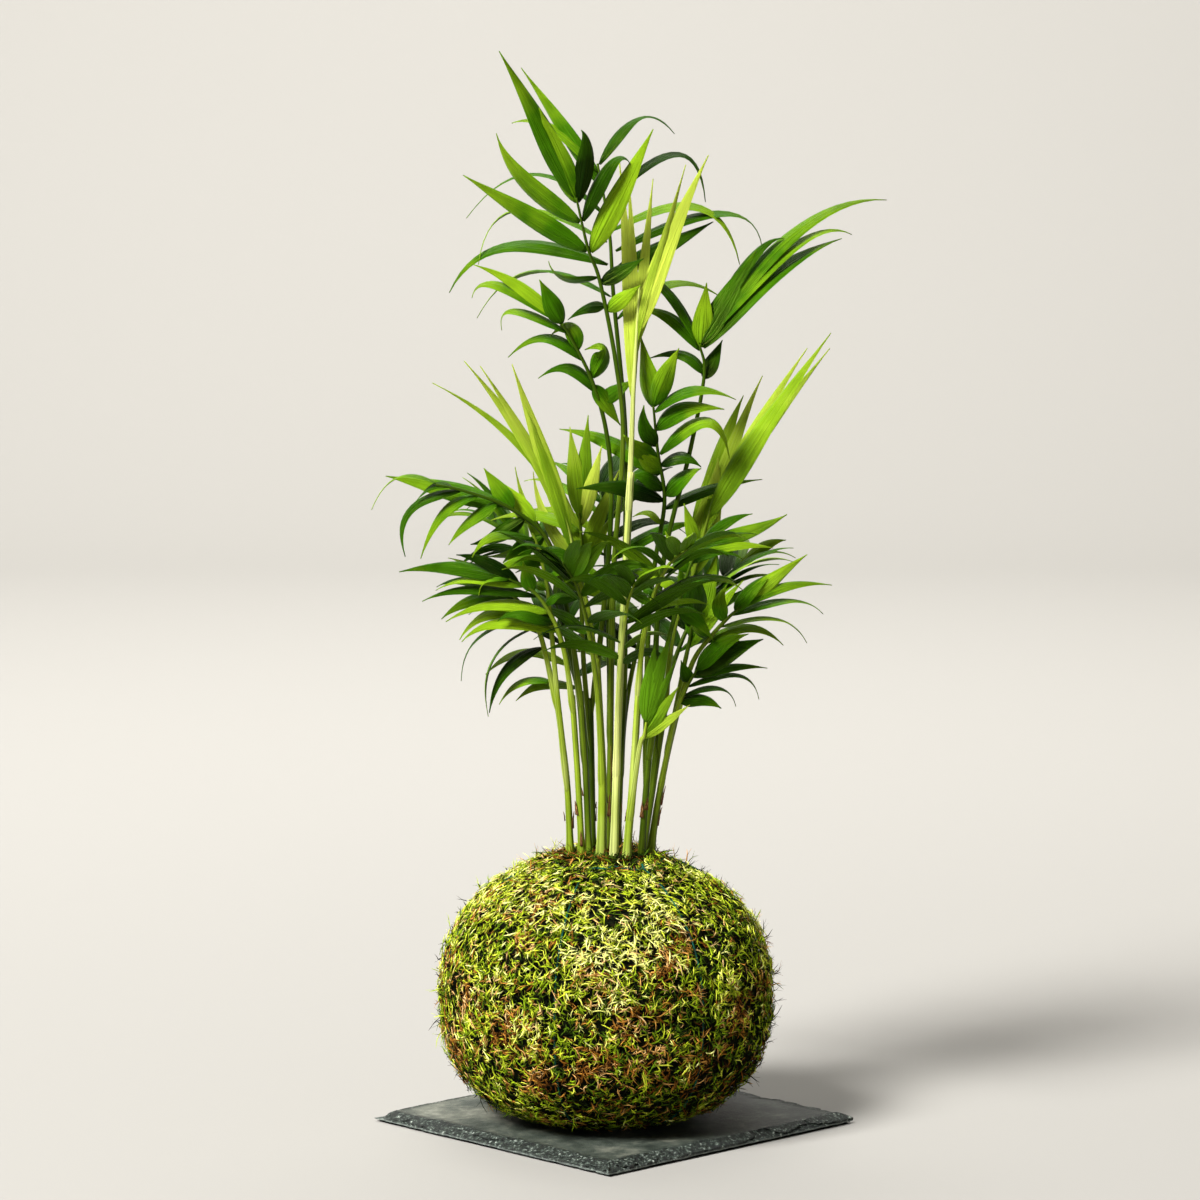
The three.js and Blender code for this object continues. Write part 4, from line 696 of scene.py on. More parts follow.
def slate_tile():
    """Rings of a square outline: up the flaked edge, then inwards over the top. The edge is a steep
    lower lip and a sloping bevel, set in by random terraces: the random depth is rounded down to
    steps, as slate breaks along its sheets."""
    count = EDGE_POINTS
    half = TILE["side"] / 2
    share = np.arange(count) / count * 4
    side, t = np.floor(share).astype(int), share % 1
    corner = np.array([[-1, -1], [1, -1], [1, 1], [-1, 1], [-1, -1]]) * half
    square = mix(corner[side], corner[side + 1], t[:, None])
    turn = np.radians(TILE["turn"])
    spin = np.array([[np.cos(turn), np.sin(turn)], [-np.sin(turn), np.cos(turn)]])
    rings, chipped = [], []

    def place(flat, height, worn):
        rings.append(np.column_stack([flat @ spin, np.broadcast_to(height, count)]))
        chipped.append(worn)

    from_broken = np.linalg.norm(square - corner[3], axis=1)
    broken = TILE["broken_depth"] * np.clip(1 - from_broken / TILE["broken_reach"], 0, 1)
    for reach in (0.1, 0.55, 0.97):
        place(square * reach, 0.0, 1.0)
    for z, inset in zip(EDGE_LEVELS, EDGE_INSETS):
        at = np.column_stack([square, np.full(count, z * 3.0)])
        torn = 1.6 * lumps(at, 17, 3) + 1.3 * lumps(at, 6, 4) + 0.4 * lumps(at, 2.4, 5)
        bite = np.clip(lumps(at, 22, 6) - 0.2, 0, 1) * 5.0
        loose = (torn + bite) * np.clip((z - 0.9) / 2.4, 0.12, 1.0)
        terrace = np.floor(loose / TERRACE["step"]) * TERRACE["step"] + TERRACE["first"]
        stepped = mix(loose, terrace, TERRACE["sharp"])
        amount = inset + stepped + (broken if z > 1.6 else 0)
        limit = np.maximum(half - np.maximum(amount, TILE["least_inset"]), 0)[:, None]
        lift = 0.2 * lumps(at, 3.0, 7) * (1 < z < TILE_TOP)
        place(np.clip(square, -limit, limit), z + lift, np.interp(z, *EDGE_WEAR))
    edge = rings[-1][:, :2] @ spin.T
    for inner in np.linspace(1, 0.02, TOP_RINGS)[1:] ** 1.2:
        at = np.column_stack([edge * inner, np.zeros(count)])
        relief = 0.16 * lumps(at, 22, 8) + 0.08 * lumps(at, 6, 9) - 0.1
        rim = 0.6 * np.clip(lumps(at, 9, 10) - 0.1, 0, 1) * np.clip((inner - 0.9) * 10, 0, 1)
        worn = np.clip((inner - 0.955) / 0.03, 0, 1) * 0.7
        place(edge * inner, TILE_TOP - np.maximum(0, -relief) * 0.6 - rim, worn)
    form = skins(np.array(rings)[None])
    form["tone"] = np.r_[np.repeat(chipped, count), 1.0, 0.0] / 2
    piece("slate_tile_split", [form], [slate_finish()], "slate", "slate_tile", smooth=False)


# ------------------------------------------------------------------ moss, soil and thread
# the moss's body: how thick it is, how deep it lies under the strands' roots, its rings and columns
BED = {"wall": 9.0, "under": 3.2, "rings": 110, "columns": 220}


def ball_radius(z, shrink=0.0):
    """Squashed sphere: radius times (1 - share^p)^(1/p) of the height above or below the middle."""
    up = z > BALL["z"]
    half = np.where(up, BALL["above"], BALL["below"]) - shrink
    power = np.where(up, ROUND_ABOVE, ROUND_BELOW)
    share = np.minimum(np.abs(z - BALL["z"]) / half, 1)
    return (BALL["radius"] - shrink) * (1 - share**power) ** (1 / power)


def side_heights(count):
    """Heights down the ball's side, the same number above and below its middle."""
    middle = BALL["z"]
    return np.r_[np.linspace(SIDE_TOP, middle, count), np.linspace(middle, SIDE_FOOT, count)[1:]]


def outside_line(count):
    """Points (radius, height) down the moss's outside from the rim to where it rests, evenly spaced,
    with the outward normal of each."""
    z = side_heights(120)
    line = np.column_stack([ball_radius(z), z])
    line = np.concatenate([[[RIM_RADIUS, RIM_HEIGHT]], line, [[REST_RADIUS, BALL_FOOT]]])
    points = points_at(line, np.linspace(0, measured(line)[-1], count))
    slope = unit(np.gradient(points, axis=0))
    return points, np.column_stack([-slope[:, 1], slope[:, 0]])


def measured(line):
    """How far along a line of straight pieces each of its points is."""
    return np.r_[0, np.cumsum(np.linalg.norm(np.diff(line, axis=0), axis=1))]


def points_at(line, places):
    """The points that are so far along a line of straight pieces."""
    return np.column_stack([np.interp(places, measured(line), column) for column in line.T])


def furrow_depth(height):
    """How deep a strand's furrow is: the same all the way down, fading out towards the rim."""
    return FURROW["depth"] * np.clip((RIM_HEIGHT - height) / FURROW["fade"], 0, 1)


def pulled_in(angle, height):
    """How far the strands of thread pull the moss in: a groove about 5 mm wide along each."""
    apart = np.abs((angle - THREAD_ANGLES[:, None] + np.pi) % TURN - np.pi)
    across = apart.min(0) * ball_radius(height)
    return furrow_depth(height) * np.exp(-((across / FURROW["width"]) ** 2))


def round_points(angle, radius, height):
    """Points round the ball's upright axis."""
    x, y = BALL["x"] + radius * np.cos(angle), BALL["y"] + radius * np.sin(angle)
    return np.stack(np.broadcast_arrays(x, y, height), -1)


def tufts(points):
    """How far the moss swells in tufts 4 and 8 mm across, or sinks between them."""
    return 1.5 * lumps(points, 8, 23) + 0.8 * lumps(points, 4, 26)


def moss_bed():
    """The moss's felted body: the outline carried round the ball, pulled in along the thread and
    swollen by random tufts, closed over the inside that holds the soil."""
    angle = TURN * np.arange(BED["columns"]) / BED["columns"]
    shrink = BED["wall"] - GAP
    heights = np.array([22, 40, 60, 80, 96.0])
    floor = BALL_FOOT + shrink
    throat = OPENING_RADIUS + GAP
    inner = [(4.0, floor), (20.0, floor), *zip(ball_radius(heights, shrink), heights)]
    inner += [(throat, 108), (throat, RIM_HEIGHT - 3)]
    rings = [round_points(angle, r, z) for r, z in inner]
    for r, z in outside_line(BED["rings"])[0]:
        sunk = tufts(round_points(angle, r, z)) - pulled_in(angle, z) - BED["under"]
        rings.append(round_points(angle, r + sunk, z))
    rings += [round_points(angle, r, BALL_FOOT + 0.4) for r in (22.0, 4.0)]
    # the moss's felted body between its strands is painted near black, as the shade in the gaps between
    # them, and is matt
    shade_blacks = [(0.3, "#030501"), (0.55, "#0d1104"), (0.75, "#221a07")]
    shaded_felt = mottled_finish("moss_bed", 0.95, 0.1, (420.0, 4.0), shade_blacks, (0.9, 0.001))
    piece("moss_bed", [skins(np.array(rings[::-1])[None])], [shaded_felt], "moss", "moss_cover")


# places where the moss has dried brown: angle in degrees round the ball, height, and reach in mm
BROWN_PATCHES = [
    (233, 107, 8), (204, 98, 7), (236, 91, 6), (267, 78, 9), (305, 94, 10), (233, 57, 11),
    (268, 43, 9), (292, 36, 10), (291, 82, 8), (214, 64, 11), (228, 46, 12), (244, 34, 9),
    (278, 62, 12), (285, 45, 10), (262, 36, 8), (306, 40, 10), (20, 70, 13), (75, 45, 14),
    (120, 90, 13), (160, 60, 13), (193, 76, 9), (200, 42, 12), (340, 66, 9), (322, 58, 8),
]
SPRIGS, CROWN_SPRIGS = 27000, 2800
GORES = 12  # the strands are kept in twelve pieces, like the segments of an orange
# the ring of moss that swells up round the canes: radius, height
CROWN_RISE = [(12, 115.2), (18, 116.4), (23, 118.6), (28, 118.2), (33, 115.8), (38, 112.4)]
TONE_COLUMNS = 48  # how many tones the strands of moss are sorted into
WISPS = {"share": 0.03, "least_height": 14}
SIDE_LEAVES = ((0.4, 1), (0.62, -1))  # where along its strand each starts, and to which side


def sprig_roots(rng, count):
    """Places spread evenly over the moss's outside: where, how deep, the angle round the ball, and
    the outward direction. A height is drawn by area: along the outline, weighted by its radius."""
    line, normals = outside_line(800)
    weight = np.cumsum(line[:, 0])
    steps = np.arange(len(line))
    place = np.interp(rng.uniform(0, weight[-1], count), weight, steps)
    radius, height, out_r, out_z = (np.interp(place, steps, v) for v in (*line.T, *normals.T))
    angle = rng.uniform(0, TURN, count)
    surface = round_points(angle, radius, height)
    return surface, tufts(surface) - 0.75 * pulled_in(angle, height), angle, out_r, out_z


def crown_roots(rng, count):
    """The same on the ring of moss round the canes, spread by area."""
    radius, height = np.array(CROWN_RISE, float).T
    r = np.sqrt(rng.uniform(radius[0] ** 2, radius[-1] ** 2, count))
    angle = rng.uniform(0, TURN, count)
    surface = round_points(angle, r, np.interp(r, radius, height))
    slope = np.interp(r, radius, np.gradient(height, radius))
    size = np.hypot(slope, 1)
    depth = 3.4 * lumps(surface, 7, 28) + 1.2 * lumps(surface, 3.5, 29)
    return surface, depth, angle, -slope / size, 1 / size


def brownness(points):
    """1 in the middle of a dried patch, falling to 0 at its reach, with ragged borders."""
    total = np.zeros(len(points))
    for angle, height, reach in BROWN_PATCHES:
        centre = round_points(np.radians(angle), ball_radius(np.float64(height)), height)
        total = np.maximum(total, 1 - np.linalg.norm(points - centre, axis=1) / reach)
    return np.clip(total + 0.55 * lumps(points, 5, 31), 0, 1)


def sprig_rings(root, direction, bend, length, width, flat, rows=4, curl=0.0):
    """Three-sided spindles: centre = root + length (direction t + bend t^2 + curl (t^3 - t^2) across),
    and radius = width sin(pi t^0.7)^0.8, flattened to 0.6 of it."""
    sides = 3
    t = np.linspace(0.05, 0.95, rows)[:, None]
    swirl = (np.cross(flat, direction) * np.broadcast_to(curl, len(root))[:, None])[:, None]
    direction, bend, root = direction[:, None], bend[:, None], root[:, None]
    long = length[:, None, None]
    centre = root + direction * (long * t) + bend * (long * t * t) + swirl * (long * (t**3 - t * t))
    heading = unit(direction + 2 * bend * t + swirl * (3 * t * t - 2 * t))
    across = unit(np.cross(heading, flat[:, None]))
    other = np.cross(heading, across)
    radius = width[:, None, None] * np.sin(np.pi * t**0.7) ** 0.8
    angle = TURN * np.arange(sides) / sides
    wide, high = np.cos(angle) * radius, 0.6 * np.sin(angle) * radius
    return centre[:, :, None] + across[:, :, None] * wide[..., None] + other[:, :, None] * high[..., None]


def moss_sprigs(finish):
    """Thousands of short curly strands, rooted in the bed and lying over each other at all angles, upright
    along the thread, each with two side leaves. In the gaps between tufts they sit deep and are painted
    black-green with shade. Painted light makes them sunlit straw-green on top, and painted shade makes them
    darker the deeper they lie, low down and on the right, in the thread's furrows and round the canes. They
    are also darker at the left edge, and brown in the dried patches. A few wisps stand out."""
    rng = np.random.default_rng(61)
    count = SPRIGS + CROWN_SPRIGS
    both = zip(sprig_roots(rng, SPRIGS), crown_roots(rng, CROWN_SPRIGS))
    surface, depth, angle, out_r, out_z = (np.concatenate(pair) for pair in both)
    x, y, z = surface.T
    cos, sin = np.cos(angle), np.sin(angle)
    outward = np.column_stack([out_r * cos, out_r * sin, out_z])
    around = np.column_stack([-sin, cos, np.zeros(count)])
    upward = np.cross(outward, around)
    root = surface + outward * depth[:, None]
    # how each strand lies
    flow = TURN * 0.5 * lumps(root, 11, 24) + rng.normal(0, 1.4, count)
    furrow = pulled_in(angle, z) / FURROW["depth"]
    combed = furrow > rng.uniform(0.05, 1.1, count)
    flow = np.where(combed, rng.choice([-1, 1], count) * TURN / 4 + rng.normal(0, 0.4, count), flow)
    direction = around * np.cos(flow)[:, None] + upward * np.sin(flow)[:, None]
    wisp = (rng.uniform(0, 1, count) < WISPS["share"]) & (z > WISPS["least_height"])
    lift = np.where(wisp, 0.6 + 2.4 * rng.uniform(0, 1, count) ** 2, rng.uniform(0.0, 0.55, count))
    direction = unit(direction + outward * lift[:, None])
    sideways = np.cross(outward, direction)
    side = rng.normal(0, 0.55, count)
    bend = sideways * side[:, None] - outward * np.where(wisp, 0.15, 0.5 * lift)[:, None]
    curl = rng.normal(0, 1.5, count)
    length = rng.uniform(2.8, 7.0, count) * np.where(wisp, 1.5, 1.0)
    width = rng.uniform(0.26, 0.5, count) * np.where(wisp, 0.8, 1.0)
    gap = lumps(surface, 2.2, 27) + 0.25 * lumps(surface, 9, 30) > 0.19
    sink = np.where(gap, rng.uniform(-3.0, -1.2, count), rng.uniform(-1.7, 0.5, count))
    foot = root + outward * sink[:, None]
    # its place in the band of tones: random, and with painted shade darker the deeper a strand lies
    tone = 0.13 + 0.2 * lumps(root, 18, 25) + rng.normal(0, 0.16, count) - 0.12 * sink
    # painted shade: darker low on the ball and towards its right side, away from the light
    low = np.clip((88 - z) / 70, 0, 1) + 0.6 * np.clip(x / 60, 0, 1)
    tone = tone + 0.24 * low + 0.16 * np.clip((-x - 48) / 25, 0, 1) + 0.2 * wisp
    # painted shade in the thread's furrows and on the ring of moss under the fronds
    tone = tone + 0.22 * furrow + 0.22 * (np.arange(count) >= SPRIGS)
    from_canes = np.hypot(x - BALL["x"], y - BALL["y"])
    # painted shade in the hollow round the canes and in the gaps between tufts
    shaded_hollow = (from_canes < 25) & (lumps(surface, 5, 33) > -0.25)
    tone = np.clip(tone + 0.2 * gap + 0.32 * shaded_hollow, 0.0, 0.65)
    brown = brownness(root) + rng.normal(0, 0.22, count) > 0.5
    stray = rng.uniform(0, 1, count) < np.where(z < 75, 0.16, 0.08)
    # the dried strands also get painted shade in the gaps and low on the ball
    dry = rng.uniform(0.75, 1.0, count) - 0.1 * gap - 0.06 * low
    litter = (from_canes < 24) & (rng.uniform(0, 1, count) < 0.35)
    tone = np.where(brown | stray | litter, dry - 0.1 * litter, tone)
    parts = [sprig_rings(foot, direction, bend, length, width, outward, curl=curl)]
    for t, turned in SIDE_LEAVES:
        start = foot + direction * (length * t)[:, None] + bend * (length * t * t)[:, None]
        start = start + sideways * (curl * length * (t**3 - t * t))[:, None]
        lifted = outward * rng.uniform(-0.1, 0.6, (count, 1))
        out = unit(direction + 2 * bend * t + sideways * turned * 1.1 + lifted)
        parts.append(sprig_rings(start, out, bend * 0, length * 0.42, width * 0.8, outward, rows=2))
    gore = np.floor(angle / TURN * GORES).astype(int)
    for k in range(GORES):
        forms = [skins(rings[gore == k], tone=tone[gore == k]) for rings in parts]
        piece(f"moss_strands_{k + 1:02d}", forms, [finish], "moss", strip=TONE_COLUMNS)


CRUMBS = {"count": 900, "reach": 26, "height": 118.2}  # of peat, as far out as this
BITS = {"count": 1500, "reach": 21, "height": 118.6}  # of moss


def crown_litter(moss, soil):
    """Crumbs of peat and bits of moss between the canes: five-sided lumps and short strands."""
    rng = np.random.default_rng(71)
    count, reach = CRUMBS["count"], CRUMBS["reach"]
    radius = np.sqrt(rng.uniform(0, 1, count)) * reach
    angle = rng.uniform(0, TURN, count)
    height = CRUMBS["height"] - 2.0 * (radius / reach) ** 2 + rng.uniform(-1.0, 1.6, count)
    centre = round_points(angle, radius, height)
    size = rng.uniform(0.5, 1.9, count)[:, None, None]
    t = np.array([0.2, 0.5, 0.8])[:, None]
    ring = TURN * np.arange(5) / 5
    wide = np.sin(np.pi * t) * size * rng.uniform(0.7, 1.2, (count, 3, 5))
    x = wide * np.cos(ring + rng.uniform(0, 1, (count, 1, 1)))
    rings = np.stack(np.broadcast_arrays(x, wide * np.sin(ring), (t - 0.5) * 1.3 * size), -1)
    piece("soil_crumbs", [skins(centre[:, None, None] + rings)], [soil], "soil", smooth=False)
    count = BITS["count"]
    radius = np.sqrt(rng.uniform(0.02, 1, count)) * BITS["reach"]
    angle = rng.uniform(0, TURN, count)
    rise = 2.4 * np.clip(lumps(round_points(angle, radius, 0.0), 7, 72), -0.4, 1)
    root = round_points(angle, radius, BITS["height"] + rise + rng.uniform(-1.2, 0.8, count))
    flow = rng.uniform(0, TURN, count)
    direction = unit(np.column_stack([np.cos(flow), np.sin(flow), rng.uniform(-0.1, 0.9, count)]))
    up = np.tile(UP, (count, 1))
    bend = np.cross(up, direction) * rng.normal(0, 0.5, (count, 1))
    length = rng.uniform(3.5, 8.0, count)
    width = rng.uniform(0.27, 0.47, count)
    # the green bits take the darkest greens of the band, painted shade among the canes under the fronds
    dried = rng.uniform(0, 1, count) < 0.3
    tone = np.where(dried, rng.uniform(0.69, 0.82, count), rng.uniform(0.52, 0.67, count))
    rings = sprig_rings(root, direction, bend, length, width, up, curl=rng.normal(0, 1.0, count))
    piece("moss_bits_crown", [skins(rings, tone=tone)], [moss], "moss", strip=TONE_COLUMNS)


# the thread: its radius in the solids, how far it stands off the furrow, how long one turn of its
# plies is, the mean radius of its section, how far its two lobes stand out, and its mesh
THREAD = {"radius": 0.5, "stand": 0.25, "lay": 3.0, "mean": 0.36, "lobe": 0.17, "step": 0.75, "sides": 8}


def strand_line(angle):
    """Where a strand runs: over the furrow's floor from the tie round the rim to under the ball."""
    stand = GAP + THREAD["radius"] + THREAD["stand"]
    z = side_heights(40)
    r = ball_radius(z) - furrow_depth(z)
    slope = unit(np.gradient(np.column_stack([r, z]), axis=0))
    r, z = r - slope[:, 1] * stand, z + slope[:, 0] * stand
    r = np.r_[RIM_RADIUS + 0.6, r, REST_RADIUS, 4.0]
    z = np.r_[RIM_HEIGHT + 0.8, z, BALL_FOOT + 1.0, BALL_FOOT + 1.0]
    return round_points(angle, r, z)


def ply_rings(line):
    """Two-ply thread: a section of two lobes that turns round once in each lay along the line."""
    places = np.arange(0, measured(line)[-1], THREAD["step"])
    centre = points_at(line, places)
    heading = unit(np.gradient(centre, axis=0))
    across = unit(np.cross(heading, unit(centre - [BALL["x"], BALL["y"], BALL["z"] - 0.1])))
    angle = TURN * np.arange(THREAD["sides"]) / THREAD["sides"]
    twist = TURN * places[:, None] / THREAD["lay"]
    radius = THREAD["mean"] + THREAD["lobe"] * np.cos(2 * (angle - twist))
    return round_ring(centre, across, np.cross(heading, across), angle, radius)


def binding_thread():
    """Six strands down the ball, and a tie round its rim that wanders with the moss. The thread is
    twisted polyester, dark blue-green and dulled by the moss's dust."""
    angle = np.linspace(0, TURN, 240)
    wander = np.sin(5 * angle) + 0.7 * np.sin(11 * angle + 1) + 0.4 * np.sin(23 * angle)
    tie = round_points(angle, RIM_RADIUS + 0.6 + 0.5 * wander, RIM_HEIGHT - 0.5 - 0.5 * wander)
    lines = [*map(strand_line, THREAD_ANGLES), tie]
    teals = [(0.35, "#03241c"), (0.6, "#065040"), (0.8, "#0f7258")]
    finish = mottled_finish("polyester_thread", 0.7, 0.15, (300.0, 3.0), teals)
    forms = [skins(ply_rings(line)[None]) for line in lines]
    piece("binding_thread_twisted", forms, [finish], "thread", "binding_thread")


# ------------------------------------------------------------------ canes
STEM_GREENS = [(0.0, "#324c06"), (0.5, "#889e28"), (1.0, "#e3e496")]
# how pale each cane's skin is, from deep green to straw
CANE_TONES = [0.5, 0.45, 0.24, 0.14, 0.54, 0.28, 0.78, 0.18, 0.58, 0.16, 0.28, 0.4]


CANE = {"rings": 90, "sides": 20, "rib": 0.05, "ribs": 5}


def cane_pieces(skin, husk):
    """Each cane: a tapering tube, a little ribbed, swollen at its foot and at its ring scars, with
    thin dry sheath remnants that hug it and end in a torn point."""
    rng = np.random.default_rng(81)
    sides = CANE["sides"]
    ribs = CANE["rib"] * np.cos(CANE["ribs"] * TURN * np.arange(sides) / sides)
    shares = np.linspace(0, 1, CANE["rings"])
    for k, (*points, (thick, thin)) in enumerate(CANES):
        path = cane_path(*points)
        base = mix(thick, thin, np.clip((shares - 0.3) / 0.5, 0, 1))
        scars = rng.uniform(0.45, 0.95, 2)
        swell = sum(0.06 * np.exp(-(((shares - s) / 0.004) ** 2)) for s in scars)
        foot = 0.4 * np.exp(-(((shares - 0.34) / 0.06) ** 2))
        radii = (base + swell + foot)[:, None] * (1 + ribs)
        forms = [skins(stem_rings(path, shares, radii, sides)[None], tone=[CANE_TONES[k]])]
        for low in rng.uniform(0.31, 0.6, rng.integers(2, 5)):
            forms.append(sheath_remnant(path, low, thick, rng))
        piece(f"cane_{k + 1:02d}_stem", forms, [skin, husk], "cane", f"cane_{k + 1:02d}")


def sheath_remnant(path, low, radius, rng):
    """A thin papery strip that lies on the cane from its foot to a torn point that stands off."""
    rows, across = 9, 7
    t = np.linspace(0, 1, rows)
    turn = rng.uniform(0, TURN)
    torn = 1 + 0.2 * rng.uniform(-1, 1, rows)
    span = np.radians(rng.uniform(20, 70)) * (1 - t) ** 0.8 * torn + 0.06
    reach = rng.uniform(0.03, 0.09)
    heading = heading_of(path, low + reach * t)
    side = unit(np.cross(INTO_DEPTH, heading))
    away = (radius + 0.42 + 0.7 * rng.uniform(0.1, 1) * t**3)[:, None]
    angle = turn + span[:, None] * np.linspace(-0.5, 0.5, across)
    centre, other = along(path, low + reach * t), np.cross(heading, side)
    outer = round_ring(centre, side, other, angle, away + 0.1)
    inner = round_ring(centre, side, other, angle[:, ::-1], away - 0.02)
    return skins(np.concatenate([outer, inner], 1)[None], finish=1)


# ------------------------------------------------------------------ fronds
# a blade's section, from the left edge over the top to the right edge and back underneath
SECTION = np.array([-1, -0.66, -0.33, 0, 0.33, 0.66, 1, 0.66, 0.33, 0, -0.33, -0.66])
UPPER = np.array([0, 1, 1, 1, 1, 1, 0, -1, -1, -1, -1, -1])
PLEAT = np.array([0, 1, -0.4, 0, -0.4, 1, 0, 1, -0.4, 0, -0.4, 1])
BLADE_CREASES = (0, 3, 6, 9)
# fronds of a deeper green than the rest of their kind, or, below 0, a paler one; the centre spear's paler
# green is painted light on leaflets that turn away from the light
GREEN_SHIFT_AND_PAINTED_LIGHT = {"front_small": 0.35, "right_high": 0.08, "centre_spear": -0.25}


def blade_rings(leaflet, rng):
    """Fine blade over the leaflet's midline: sections folded along the midrib like a low roof and
    pleated a little on either side of it, waved and twisted along the way. The fold flattens towards
    the tip. Thickness is greatest at the midrib and least at the edge."""
    t = np.r_[0.015, np.linspace(0.06, 0.985, 15)]
    flat, normal = blade_frame(leaflet, t)
    roll = (rng.normal(0, 0.16) + rng.normal(0, 0.3) * t)[:, None]
    across = flat * np.cos(roll) + normal * np.sin(roll)
    normal = normal * np.cos(roll) - flat * np.sin(roll)
    half = np.maximum(half_width(leaflet["width"], t), 0.22)[:, None]
    fold = -((0.42 - 0.3 * t) * rng.uniform(0.6, 1.2))[:, None] * np.abs(SECTION) * half
    sway = np.sin(9 * t[:, None] + rng.uniform(0, 6) + SECTION * 1.5)
    wave = 0.07 * half * sway * np.abs(SECTION)
    thick = 0.16 * UPPER * (1 - 0.5 * np.abs(SECTION))
    rise = fold + 0.11 * PLEAT * half + wave + thick + 0.14 * half
    middle = midline(leaflet, t)[:, None]
    return middle + across[:, None] * (SECTION * half)[..., None] + normal[:, None] * rise[..., None]


def frond_pieces(finishes):
    """Each frond: its stalk, which clasps the cane at its foot and thins towards its tip, and its blades.
    In the middle of the clump the blades are painted darker with shade and more mixed in their greens."""
    rng = np.random.default_rng(91)
    shares = np.linspace(0, 1, 80)
    taper = np.interp(shares, [0, 0.55, 1], list(STEM.values()))
    for name, cane, path, leaflets in planned_fronds():
        young = name in YOUNG
        clasp = max(CANES[cane - 1][3][1] + 0.35 - STEM["root"], 0)
        radius = taper - 0.5 * (1 - ease(shares / 0.05)) + clasp * (1 - ease(shares / 0.18))
        shade = [CANE_TONES[cane - 1] + rng.uniform(-0.08, 0.08)]
        forms = [skins(stem_rings(path, shares, radius[:, None], 10)[None], finish=1, tone=shade)]
        if leaflets:
            rings = np.array([blade_rings(leaflet, rng) for leaflet in leaflets])
            roots = np.array([leaflet["root"] for leaflet in leaflets])
            # painted shade in the middle of the clump: there its blades are darker and vary more
            inner = 0 if young else ease(1 - np.abs(roots[:, 0]) / 45) * ease((310 - roots[:, 2]) / 60)
            spread = rng.normal(0, 0.18, len(leaflets)) * (1 + 1.2 * inner)
            tone = np.clip(0.54 + spread - 0.2 * inner - GREEN_SHIFT_AND_PAINTED_LIGHT.get(name, 0), 0, 1)
            forms.append(skins(rings, tone=tone, creases=BLADE_CREASES))
        slot = "young_leaf" if young else "leaf"
        piece(f"frond_{name}_blades", forms, finishes[slot], slot, f"frond_{name}")


# ------------------------------------------------------------------ stage, light and camera
STAGE = {"width": 9.0, "behind": 2.2, "in_front": 4.6, "bend": 1.2, "height": 5.0}
LAMPS = [  # name, place, aim, size in metres, watts
    ("key_light", (-2.4, -2.3, 3.5), (0.0, 0.0, 0.2), 1.5, 540),
    ("fill_light", (1.9, -1.4, 0.9), (0.0, 0.0, 0.25), 1.4, 1.5),
    ("top_light", (-0.3, 0.9, 2.2), (0.0, 0.0, 0.3), 1.0, 8),
    ("wall_light", (0.0, 1.3, 2.2), (0.0, 3.2, 0.3), 1.6, 72),
    ("front_wall_light", (0.0, -3.7, 2.2), (0.0, -5.6, 0.3), 1.6, 60),
    ("left_floor_light", (-2.6, 0.0, 2.2), (-5.2, 0.0, 0.0), 1.6, 90),
    ("right_floor_light", (2.6, 0.0, 2.2), (5.2, 0.0, 0.0), 1.6, 90),
]
# the photograph's camera: its lens as long as 4994 of the 1200 pixels across a 36 mm picture
VIEW = {"lens": 36.0 * 4994 / 1200, "place": (-0.00595, -2.148, 0.4815), "downwards": 6.665}


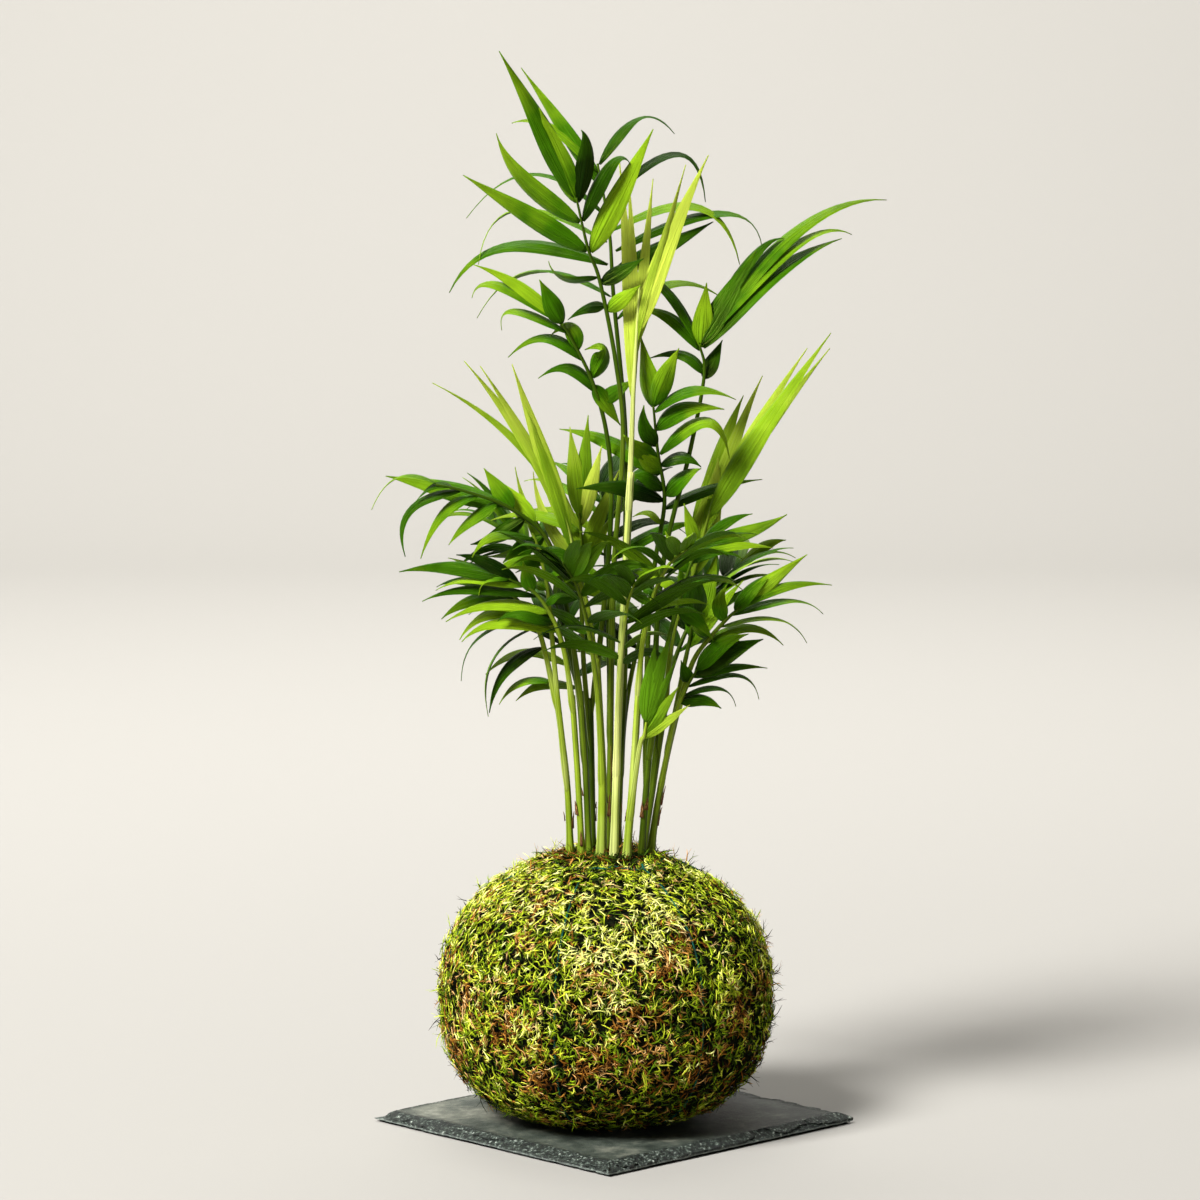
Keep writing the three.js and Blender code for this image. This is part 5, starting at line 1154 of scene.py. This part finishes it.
def studio():
    """A plain pale floor that sweeps up behind the object and behind the viewer; a wide soft light
    from the upper left in front, a weak one from the right, a soft one from above, and four turned
    away from the object that keep the floor even; and the photograph's view."""
    bend = STAGE["bend"]
    angle = np.linspace(0, np.pi / 2, 24)
    out = np.r_[bend * np.sin(angle), bend]
    up = np.r_[bend * (1 - np.cos(angle)), STAGE["height"]]
    y = np.r_[-STAGE["in_front"] - out[::-1], 0.0, STAGE["behind"] + out]
    z = np.r_[up[::-1], 0.0, up]
    points = np.concatenate([np.column_stack([y * 0 + x, y, z]) for x in (-STAGE["width"], STAGE["width"])])
    k = np.arange(len(y) - 1)
    faces = np.column_stack([k, k + len(y), k + len(y) + 1, k + 1])
    mesh = bpy.data.meshes.new("floor_sweep")
    mesh.from_pydata(points.tolist(), [], faces.tolist())
    mesh.polygons.foreach_set("use_smooth", np.full(len(faces), True))
    finish, surface = finish_named("plain_paper", Roughness=0.9, Specular_IOR_Level=0.1)
    surface["Base Color"].default_value = linear("#a19e98")
    mesh.materials.append(finish)
    scene = bpy.context.scene
    floor = bpy.data.objects.new("floor_sweep", mesh)
    scene.collection.objects.link(floor)
    for name, place, aim, size, power in LAMPS:
        lamp = bpy.data.lights.new(name, "AREA")
        lamp.size = size
        lamp.energy = power
        light = bpy.data.objects.new(name, lamp)
        light.location = place
        light.rotation_euler = (Vector(aim) - Vector(place)).to_track_quat("-Z", "Y").to_euler()
        scene.collection.objects.link(light)
    view = bpy.data.cameras.new("photo_view")
    view.sensor_width = 36.0
    view.lens = VIEW["lens"]
    view.clip_end = 20
    eye = bpy.data.objects.new("photo_view", view)
    eye.location = VIEW["place"]
    eye.rotation_euler = (np.radians(90 - VIEW["downwards"]), 0, 0)
    scene.collection.objects.link(eye)
    scene.camera = eye
    world = bpy.data.worlds.new("studio_air")
    world.use_nodes = True
    air = world.node_tree.nodes["Background"].inputs
    air["Color"].default_value = linear("#f1efe9")
    air["Strength"].default_value = 0.1
    scene.world = world
    scene.view_settings.view_transform = "Standard"


studio()
slate_tile()
moss_bed()
MOSS = moss_finish()
moss_sprigs(MOSS)
# peat and clay soil, crumbled by hand: matt dark brown crumbs with lighter fibres
PEAT_BROWNS = [(0.32, "#120c08"), (0.52, "#33241a"), (0.66, "#5a4030"), (0.8, "#8a6a4c")]
PEAT = mottled_finish("peat_soil", 0.95, 0.15, (380.0, 5.0), PEAT_BROWNS, (0.8, 0.0012))
soil_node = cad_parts["root_ball"]
soil_node.data.materials.clear()
soil_node.data.materials.append(PEAT)
crown_litter(MOSS, PEAT)
binding_thread()
cane_pieces(stalk_finish("waxy_cane_skin", 0.1), husk_finish())
MATURE_GREENS = ["#041a02", "#356304", "#88ac1a"]
YOUNG_GREENS = ["#4d780e", "#80a21c", "#b8c944"]
frond_pieces(
    {
        "leaf": (
            blade_finish("waxy_palm_blade", MATURE_GREENS, "#4c7a0c", 0.34),
            stalk_finish("green_petiole", 0.5),
        ),
        "young_leaf": (
            blade_finish("young_palm_blade", YOUNG_GREENS, "#90ae2c", 0.4),
            stalk_finish("young_petiole", 0.1),
        ),
    }
)
